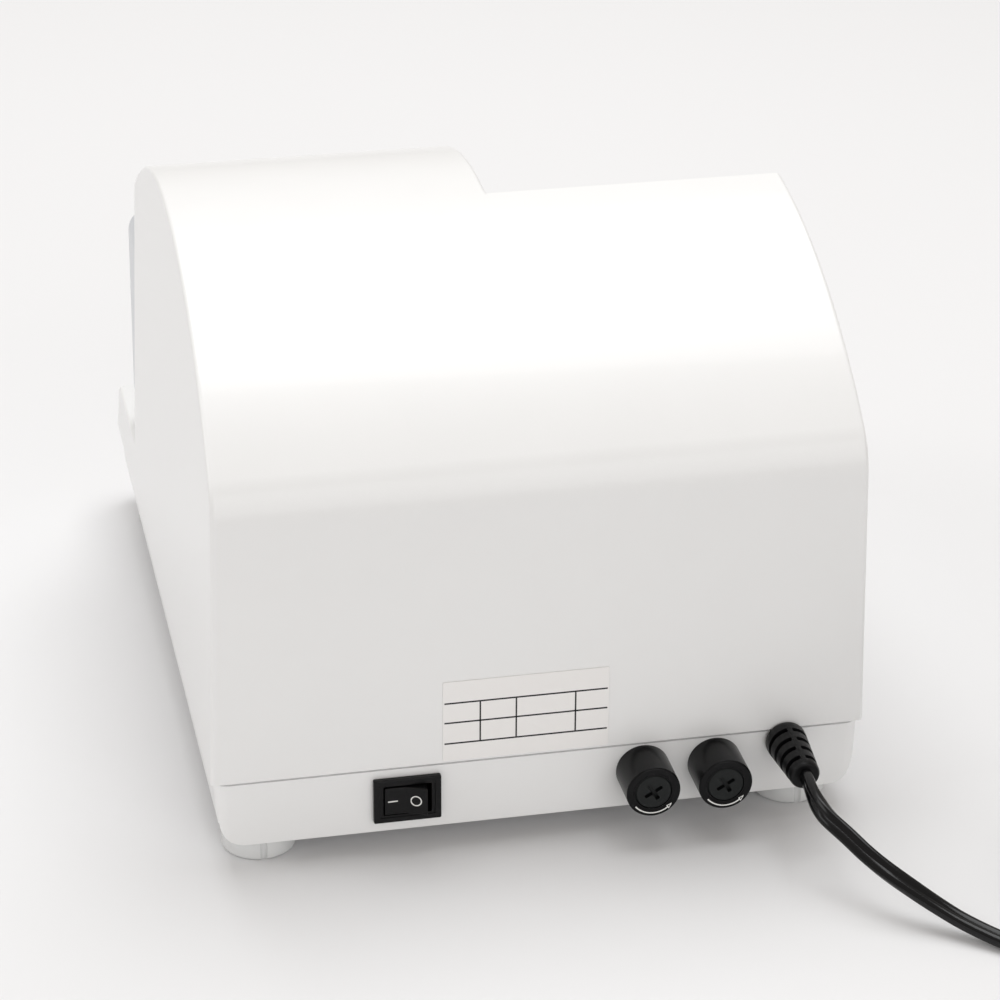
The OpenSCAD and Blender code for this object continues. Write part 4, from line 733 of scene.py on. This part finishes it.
# Fuse holders: half-gloss black nylon housings pushed through the tray's rear wall. Each has
# a screwdriver cap that turns and draws the fuse out, and a printed white turn arrow.
FUSE_Z, FUSE_R, FUSE_FRONT, FUSES = 20.5, 8.5, 138.8, (("a", -32.0), ("b", -54.9))
CAP_R, BORE_DEEP = 5.75, 4.3
ARROW_R, ARROW_HALF, ARROW_TAIL, ARROW_HEAD = 7.2, 0.2, -142, -52
fuse_nylon = finish("fuse_nylon", (0.003, 0.003, 0.0035), 0.26, grain=0.4, relief=0.1,
                    Specular_IOR_Level=0.16)
cap_nylon = finish("fuse_cap", (0.006, 0.0075, 0.0075), 0.45, grain=0.3, relief=0.3,
                   Specular_IOR_Level=0.25)
to_rear_turn = Matrix.Rotation(radians(-90), 4, "X")
for key, x in FUSES:
    length = FUSE_FRONT - PANEL_Y
    body = turned("fuse", [(6, -18), (6, 0), (FUSE_R, 0)] + arc((FUSE_R - 0.6, length - 0.6), 0.6, 0, 90, 5)
                  + [(CAP_R + 0.75, length), (CAP_R + 0.45, length - 0.25), (CAP_R + 0.05, length - 0.25),
                     (CAP_R + 0.05, length - BORE_DEEP), (4.65, length - BORE_DEEP), (4.65, -15)], 96)
    moved(body, (x, PANEL_Y, FUSE_Z), to_rear_turn)
    settle(body, "fuse_housing_" + key, "root", "fuse_black", fuse_nylon, "fuse_body_" + key, smooth=30)
    # the cap and its sleeve, with a cross slot
    cap = turned("cap", [(4.6, -22), (4.6, -4), (CAP_R, -4), (CAP_R, -0.35), (CAP_R - 0.35, 0),
                         (3.9, 0), (3.7, -0.12)], 96)
    carve(cap, turned("room", [(2.65, -30), (2.65, -7)], 32))
    for a in (60, 150):
        slot = plate(rounded(6.2, 1.3, 0.3, 3), -1.6, 2)
        carve(cap, moved(slot, turn=Matrix.Rotation(radians(-a), 4, "Z")))
    cap = soften(cap, 0.12, 2, 50)
    moved(cap, (x, FUSE_FRONT - 0.2, FUSE_Z), to_rear_turn)
    settle(cap, "fuse_cap_" + key, "carrier_" + key, "carrier_black", cap_nylon, "fuse_carrier_" + key)
    # printed arrow round the cap's lower side, with its head towards the lead
    strip = arc((0, 0), ARROW_R + ARROW_HALF, ARROW_TAIL, ARROW_HEAD, 24)
    strip = plate(strip + arc((0, 0), ARROW_R - ARROW_HALF, ARROW_HEAD, ARROW_TAIL, 24), 0, 0.3)
    head = [Vector((r * cos(radians(ARROW_HEAD + a)), r * sin(radians(ARROW_HEAD + a))))
            for r, a in ((ARROW_R - 0.7, 0), (ARROW_R + 0.7, 0), (ARROW_R, 16))]
    centre = sum(head, Vector((0, 0))) / 3
    tip = plate([tuple(p) for p in head], 0, 0.3)
    carve(tip, plate([tuple(centre + (p - centre) * 0.5) for p in head], -1, 1))
    arrow = moved(joined([strip, tip]), (x, FUSE_FRONT - 0.26, FUSE_Z), TO_REAR)
    settle(arrow, "fuse_arrow_" + key, "root", "fuse_black", white_print, smooth=0)

# Fuses and nuts: a glass tube with two nickel-plated caps sits in each screwdriver cap, and
# a black nylon nut inside the tray holds each housing.
glass = finish("fuse_glass", (0.92, 0.95, 0.95), 0.04, relief=0.02, vary=0.01, Transmission_Weight=0.95,
               IOR=1.5)
LINK_Y = FUSE_FRONT - 7.4
for key, x in FUSES:
    tube = turned("tube", [(2.3, 0.3), (2.4, 0.4), (2.4, 19.6), (2.3, 19.7)], 40)
    moved(tube, (x, LINK_Y, FUSE_Z), to_rear_turn.inverted())
    settle(tube, "fuse_glass_" + key, "fuse_" + key, "fuse_glass", glass, "fuse_link_" + key)
    caps = [turned("cap", [(2.2, z), (2.6, z + 0.4), (2.6, z + 4.8), (2.45, z + 5.2)], 40) for z in (0, 14.8)]
    ends = moved(joined(caps), (x, LINK_Y, FUSE_Z), to_rear_turn.inverted())
    settle(ends, "fuse_ends_" + key, "fuse_" + key, "fuse_glass", nickel)
trimmed("fuse_nuts", 0.3, "fuse_nut_pair", "root", "nut_black", cap_nylon)

# Strain relief: a soft black PVC sleeve moulded on the lead. It tapers to the rear and bends
# on four slots each side of a middle web, and a collar holds it behind the tray's wall.
boot_pvc = finish("boot_pvc", (0.003, 0.003, 0.0035), 0.36, grain=0.5, relief=0.25,
                  Specular_IOR_Level=0.2)
BOOT_Y, SLOT_FIRST, SLOT_PITCH, SLOT_HALF, WEB_HALF = REAR_Y + 0.3, 4.7, 4.8, 0.9, 0.8
sleeve = [(6.3, 0.2), (6.45, 0.6), (6.45, 2.3), (4.75, 21.7), (4.3, 22.5), (3.4, 22.7)]
boot = turned("boot", [(BOOT_NECK_R, -10.3), (BOOT_NECK_R, -9), (7.45, -9), (7.45, -7), (BOOT_NECK_R, -7),
                       (BOOT_NECK_R, 0), (5.9, 0)] + sleeve, 72)
for i in range(4):
    for half_turn in (180, 0):
        z = SLOT_FIRST + SLOT_PITCH * i
        slot = soften(block((WEB_HALF, -8, z - SLOT_HALF), (9, 8, z + SLOT_HALF)), 0.3, 2, 40)
        carve(boot, moved(slot, turn=Matrix.Rotation(radians(half_turn), 4, "Z")))
boot = soften(boot, 0.22, 2, 40)
# the mould's parting line shows along the web
ridge = turned("ridge", [(r + 0.07, z) for r, z in sleeve[2:5]], 72)
carve(ridge, block((-0.14, -9, 0), (0.14, 9, 22)), "INTERSECT")
boot = moved(joined([boot, ridge]), (CORD_X, BOOT_Y, BOOT_Z), to_rear_turn)
settle(boot, "strain_relief", "root", "boot_rubber", boot_pvc, "cord_boot", smooth=40)

# Mixing chamber: a moulded tub of grey ABS that closes off the inside under the shell's
# mouth. The shaft comes in through a hole in its side.
tub_abs = finish("tub_abs", (0.30, 0.32, 0.34), 0.42, grain=0.5, relief=0.35)
trimmed("chamber_tub", 0.5, "mixing_chamber", "root", "tub_grey", tub_abs)

# Lid: a clear acrylic panel bent to the seat's curve. A skirt inside the mouth stiffens it,
# a tab lifts it, and two knuckles carry it on the hinge pins.
acrylic = finish("clear_acrylic", (0.95, 0.97, 0.975), 0.03, grain=2, relief=0.02, vary=0.01,
                 Transmission_Weight=0.97, IOR=1.49)
HINGE_Y, HINGE_Z, LID_REAR, LID_GAP_X = 19.2, 168.873, 117.345, 0.8
BRACKETS = ((MOUTH_X0 + 10, 1), (MOUTH_X1 - 10, -1))
lid = bar(band(LID_R - LID_T, LID_R, LID_REAR, lid_a1, 72), -120, SPLIT_X - LID_GAP_X)
low_x, high_x = HALF_W + SIDE_LEAN * SEAM - LID_GAP_X, HALF_W - SIDE_LEAN * (200 - SEAM) - LID_GAP_X
side_cut = plate([(low_x, 0), (high_x, 200), (-20, 200), (-20, 0)], -150, 150)
carve(lid, moved(side_cut, turn=TO_REAR), "INTERSECT")
lid = soften(lid, 0.5, 3, 50)
skirt_end = mouth_a - degrees(1.2 / LID_R)
skirt = bar(band(LID_R - LID_T - 6, LID_R - LID_T + 0.6, lid_a0 + 2.4, skirt_end),
            MOUTH_X0 + 1.2, MOUTH_X1 - 1.2)
carve(skirt, bar(band(LID_R - LID_T - 8, LID_R - LID_T, lid_a0 + 1, skirt_end - degrees(2 / LID_R)),
                 MOUTH_X0 + 3.2, MOUTH_X1 - 3.2))
carve(lid, skirt, "UNION")
tab_x, tab_y = (MOUTH_X0 + MOUTH_X1) / 2, lid_b[0]
tab = [(tab_x - 17, tab_y + 1)] + arc((tab_x - 12, tab_y - 1), 5, 180, 270, 6)
tab += arc((tab_x + 12, tab_y - 1), 5, 270, 360, 6) + [(tab_x + 17, tab_y + 1)]
carve(lid, soften(plate(tab, NOSE_Z + 0.6, NOSE_Z + 3.8), 0.5, 2, 50), "UNION")
for x, way in BRACKETS:
    x0, x1 = sorted((x - 4.6 * way, x + 4.4 * way))
    knuckle = bar(arc((HINGE_Y, HINGE_Z), 3.5, 0, 350, 35), x0, x1)
    carve(knuckle, block((x0, HINGE_Y - 6.5, HINGE_Z - 3), (x1, HINGE_Y, HINGE_Z)), "UNION")
    carve(lid, knuckle, "UNION")
    x0, x1 = sorted((x - 8.1 * way, x - 4.6 * way))
    carve(lid, block((x0, HINGE_Y - 4.5, HINGE_Z - 20), (x1, HINGE_Y + 20, HINGE_Z + 20)))
    carve(lid, bar(arc((HINGE_Y, HINGE_Z), 2.05, 0, 350, 35), x - 7, x + 7))
MAGNET_X, MAGNET_Y = MOUTH_X1 - 8, MOUTH_Y0 + 10
boss_z = seat_z(MAGNET_Y, LID_R - LID_T) - 6
carve(lid, moved(turned("boss", [(4.2, 0), (4.2, 8)], 48), (MAGNET_X, MAGNET_Y, boss_z)), "UNION")
carve(lid, moved(turned("seat", [(3.05, -1), (3.05, 3)], 48), (MAGNET_X, MAGNET_Y, boss_z)))
settle(lid, "clear_lid", "lid", "lid_clear", acrylic, "lid", smooth=30)

# Hinge: two stainless steel angles fixed to the shell's step, each with a pin of the same
# steel that the lid's knuckle turns on.
stainless = finish("stainless", (0.58, 0.58, 0.57), 0.30, grain=0.2, relief=0.08, metallic=1.0,
                   cast=(1, 1, 0.08))
trimmed("hinge_brackets", 0.3, "hinge_bracket_pair", "root", "bracket_steel", stainless)
trimmed("hinge_pins", 0.2, "hinge_pin_pair", "root", "bracket_steel", stainless)

# Lid switch: a nickel-plated magnet in the lid's boss and a potted sensor on the chamber's
# front wall. They stop the drive when the lid opens.
potting = finish("potting", (0.025, 0.025, 0.028), 0.45, grain=0.6, relief=0.25)
trimmed("lid_magnet", 0.25, "magnet_disc", "lid", "magnet_nickel", nickel)
trimmed("reed_switch", 0.3, "lid_sensor", "root", "sensor_black", potting)

# Control console: a moulded frame of pale grey ABS, set into the dome's front face. It has a
# recess for the membrane, and openings for four keys and the window.
console_abs = finish("console_abs", (0.62, 0.64, 0.67), 0.33, grain=0.5, relief=0.12, vary=0.02,
                     Coat_Weight=0.1)
CONSOLE_T, FACE_T, WINDOW = 21, 2.4, (32, 17, 18)
KEY_W, KEY_V, KEYS = 13, -12, (("minus", -28.5), ("plus", -9.5), ("stop", 9.5), ("start", 28.5))
console = soften(plate(rounded(CONSOLE_W, CONSOLE_H, 8, 10), -6, CONSOLE_T), 2.2, 5, 50)
carve(console, block((-60, -60, -20), (60, 60, 0.3)))
carve(console, plate(rounded(CONSOLE_W - 12.6, CONSOLE_H - 12.6, 4), -4.8, 1), "UNION")
carve(console, plate(rounded(CONSOLE_W - 17, CONSOLE_H - 17, 3), -6, CONSOLE_T - FACE_T))
carve(console, plate(rounded(CONSOLE_W - 11, CONSOLE_H - 11, 4), CONSOLE_T - 0.7, CONSOLE_T + 2))
carve(console, plate(rounded(WINDOW[0], WINDOW[1], 0.4, 2, (0, WINDOW[2])), 10, 30))
for key, x in KEYS:
    carve(console, plate(rounded(KEY_W + 0.6, KEY_W + 0.6, 2, 6, (x, KEY_V)), 10, 30))
console = soften(console, 0.15, 2, 50)
settle(moved(console, turn=on_console), "console_frame", "root", "console_grey", console_abs,
       "control_console")

# Membrane: a polyester film glued into the console's recess and cut out for the keys and the
# window. A thin pale frame is printed round each of them.
film = finish("overlay_film", (0.16, 0.27, 0.40), 0.45, grain=0.25, relief=0.3, vary=0.02)
film_print = finish("film_print", (0.72, 0.75, 0.78), 0.45, grain=0.25, relief=0.3, vary=0.02)
sheet = plate(rounded(CONSOLE_W - 11.6, CONSOLE_H - 11.6, 3.8), CONSOLE_T - 0.65, CONSOLE_T - 0.15)
carve(sheet, plate(rounded(WINDOW[0] + 0.6, WINDOW[1] + 0.6, 0.6, 2, (0, WINDOW[2])), 19, 22))
frames = []
for w, h, r, middle in [(WINDOW[0] + 6, WINDOW[1] + 6, 2, (0, WINDOW[2]))] + [
        (KEY_W + 4, KEY_W + 4, 3, (x, KEY_V)) for key, x in KEYS]:
    frame_line = plate(rounded(w, h, r, 6, middle), CONSOLE_T - 0.2, CONSOLE_T - 0.11)
    carve(frame_line, plate(rounded(w - 1, h - 1, r - 0.5, 6, middle), 19, 22))
    frames.append(frame_line)
for key, x in KEYS:
    carve(sheet, plate(rounded(KEY_W + 1, KEY_W + 1, 2.2, 6, (x, KEY_V)), 19, 22))
settle(moved(sheet, turn=on_console), "membrane", "root", "overlay_film", film, "panel_overlay")
settle(moved(joined(frames), turn=on_console), "membrane_frames", "root", "overlay_film", film_print,
       smooth=0)

# Display: a module of two digits, cast in dark resin and soldered to the board, with lit red
# segments. It stands behind a window of red acrylic.
tinted = finish("tinted_acrylic", (0.45, 0.02, 0.02), 0.08, grain=2, relief=0.02, vary=0.01,
                Transmission_Weight=0.85, IOR=1.49)
lit_red = finish("lit_segment", (0.9, 0.05, 0.03), 0.4, Emission_Color=(1, 0.06, 0.03, 1),
                 Emission_Strength=2.5)
trimmed("display_module", 0.4, "display_block", "root", "display_dark", potting)
trimmed("display_window", 0.3, "display_pane", "root", "window_red", tinted)
DIGIT_W, DIGIT_H, STROKE = 5.6, 10, 0.62
SEGMENTS = {"a": (0, 1, 0), "b": (0.5, 0.5, 90), "c": (0.5, -0.5, 90), "d": (0, -1, 0),
            "e": (-0.5, -0.5, 90), "f": (-0.5, 0.5, 90)}
bars = []
for middle, shown in ((-5, "bc"), (5, "abcdef")):
    for segment in shown:
        u, w, a = SEGMENTS[segment]
        span = (DIGIT_H / 2 if a else DIGIT_W) / 2 - 0.35
        stroke = plate([(-span, 0), (STROKE - span, STROKE), (span - STROKE, STROKE), (span, 0),
                        (span - STROKE, -STROKE), (STROKE - span, -STROKE)], 17.55, 17.72)
        place = (middle + u * DIGIT_W, WINDOW[2] + w * DIGIT_H / 2, 0)
        bars.append(moved(stroke, place, Matrix.Rotation(radians(a), 4, "Z")))
settle(moved(joined(bars), turn=on_console), "display_digits", "root", "display_dark", lit_red, smooth=0)

# Control board: a glass-fibre board with green solder mask, held behind the console's face.
# A small push switch stands under each key.
solder_mask = finish("solder_mask", (0.03, 0.16, 0.06), 0.30, grain=0.8, relief=0.2, Coat_Weight=0.3)
trimmed("control_board", 0.12, "key_board", "root", "board_green", solder_mask)

# Keys: caps of satin ABS moulded in their colours, with a flange that holds them behind the
# console's face. They stand 1.2 mm above it and have printed signs.
key_colours = {"start": ("key_green", (0.05, 0.30, 0.12)), "stop": ("key_red", (0.48, 0.03, 0.025)),
               "plus": ("key_grey", (0.58, 0.60, 0.63)), "minus": ("key_grey", (0.58, 0.60, 0.63))}
sign_shapes = {"start": [(-2.2, -2.8), (3.0, 0), (-2.2, 2.8)],
               "stop": [(-2.3, -2.3), (2.3, -2.3), (2.3, 2.3), (-2.3, 2.3)],
               "minus": [(-3, -0.5), (3, -0.5), (3, 0.5), (-3, 0.5)],
               "plus": [(-3, -0.5), (-0.5, -0.5), (-0.5, -3), (0.5, -3), (0.5, -0.5), (3, -0.5),
                        (3, 0.5), (0.5, 0.5), (0.5, 3), (-0.5, 3), (-0.5, 0.5), (-3, 0.5)]}
KEY_BACK, KEY_TOP = 16.3, CONSOLE_T + 1.2
dark_print = finish("dark_print", (0.05, 0.07, 0.10), 0.5, grain=0.2, relief=0.1)
for key, x in KEYS:
    slot_name, colour = key_colours[key]
    satin = finish("key_" + key, colour, 0.38, grain=0.35, relief=0.25, vary=0.02)
    cap = soften(plate(rounded(KEY_W, KEY_W, 1.8, 6, (x, KEY_V)), KEY_BACK + 0.6, KEY_TOP), 0.7, 4, 50)
    flange = plate(rounded(KEY_W + 3, KEY_W + 3, 2, 6, (x, KEY_V)), KEY_BACK, KEY_BACK + 1.2)
    carve(cap, soften(flange, 0.15, 1, 50), "UNION")
    settle(moved(cap, turn=on_console), "key_cap_" + key, "key_" + key, slot_name, satin, "key_" + key)
    sign = moved(plate(sign_shapes[key], KEY_TOP - 0.05, KEY_TOP + 0.04), (x, KEY_V, 0))
    settle(moved(sign, turn=on_console), "key_sign_" + key, "key_" + key, slot_name,
           dark_print if slot_name == "key_grey" else white_print, smooth=0)

# Chassis: a plate of zinc-plated steel on rubber posts that keep the shaking from the case.
# Cast supports and two steel straps hold the motor on it.
plated = finish("plated_sheet", (0.48, 0.49, 0.50), 0.34, grain=0.2, relief=0.12, metallic=1.0,
                cast=(0.1, 1, 1))
rubber = finish("post_rubber", (0.02, 0.02, 0.02), 0.7, grain=0.6, relief=0.3)
castings = finish("cast_paint", (0.12, 0.13, 0.15), 0.5, grain=0.9, relief=0.5)
trimmed("chassis_plate", 0.25, "chassis", "root", "zinc_steel", plated)
trimmed("isolators", 0.3, "isolator_set", "root", "black_rubber", rubber)
trimmed("motor_cradle", 0.6, "cradle", "root", "cast_grey", castings)
trimmed("motor_straps", 0.2, "strap_pair", "root", "zinc_steel", plated)

# Motor: a painted can with end bells. Its ground shaft runs through a bronze bush into the
# chamber.
motor_paint = finish("motor_paint", (0.20, 0.22, 0.25), 0.4, grain=0.7, relief=0.3)
bronze = finish("bronze", (0.45, 0.30, 0.13), 0.4, grain=0.3, relief=0.25, metallic=1.0)
ground = finish("ground_steel", (0.50, 0.50, 0.50), 0.2, grain=0.15, relief=0.05, metallic=1.0,
                cast=(1, 0.1, 0.1))
trimmed("motor_body", 0.5, "motor", "root", "motor_paint", motor_paint)
trimmed("wall_bush", 0.25, "shaft_bush", "root", "bronze", bronze)
trimmed("rotor_shaft", 0.15, "shaft", "shaft", "shaft_steel", ground)
trimmed("skew_hub", 0.3, "slanted_hub", "shaft", "shaft_steel", ground)
trimmed("counterweight", 0.3, "balance_weight", "shaft", "shaft_steel", ground)

# Bearing: two polished rings of hardened steel with a row of balls between them. The inner
# ring is pressed on the slanted hub, and the outer one sits in the arm.
polished = finish("polished_steel", (0.66, 0.66, 0.66), 0.12, grain=0.1, relief=0.02, metallic=1.0)
trimmed("bearing_inner", 0.4, "inner_ring", "shaft", "bearing_steel", polished)
trimmed("bearing_outer", 0.4, "outer_ring", "arm", "bearing_steel", polished)
trimmed("bearing_balls", 0, "ball_row", "arm", "bearing_steel", polished)

# Arm: bead-blasted aluminium with a fork for the capsule, a sprung steel jaw, and a nylon
# block that keeps the tail from turning.
blasted = finish("bead_blasted", (0.55, 0.56, 0.57), 0.45, grain=0.25, relief=0.4, metallic=1.0)
steel = finish("turned_steel", (0.45, 0.45, 0.45), 0.28, grain=0.2, relief=0.08, metallic=1.0)
nylon = finish("guide_nylon", (0.66, 0.63, 0.53), 0.5, grain=0.5, relief=0.2, Subsurface_Weight=0.1,
               Subsurface_Scale=0.002)
trimmed("shaker_arm", 0.5, "shaker", "arm", "arm_aluminium", blasted)
trimmed("capsule_fork", 0.5, "fork", "arm", "arm_aluminium", blasted)
trimmed("clamp_jaw", 0.3, "sprung_jaw", "jaw", "jaw_steel", steel)
trimmed("tail_guide", 0.6, "guide_block", "root", "guide_nylon", nylon)

# Supply: a small mains transformer, with a core of sheet steel and a taped winding, stands on
# the chassis. The power board stands on four posts.
laminations = finish("laminations", (0.07, 0.07, 0.08), 0.45, grain=0.35, relief=0.5, metallic=0.6,
                     cast=(0.05, 3, 0.05))
tape = finish("winding_tape", (0.50, 0.33, 0.05), 0.35, grain=0.5, relief=0.3, Coat_Weight=0.3)
trimmed("transformer_core", 0.3, "core", "root", "core_steel", laminations)
trimmed("transformer_coil", 1.2, "winding", "root", "copper_coil", tape)
trimmed("power_board", 0.3, "supply_board", "root", "board_green", solder_mask)

bpy.context.view_layer.update()
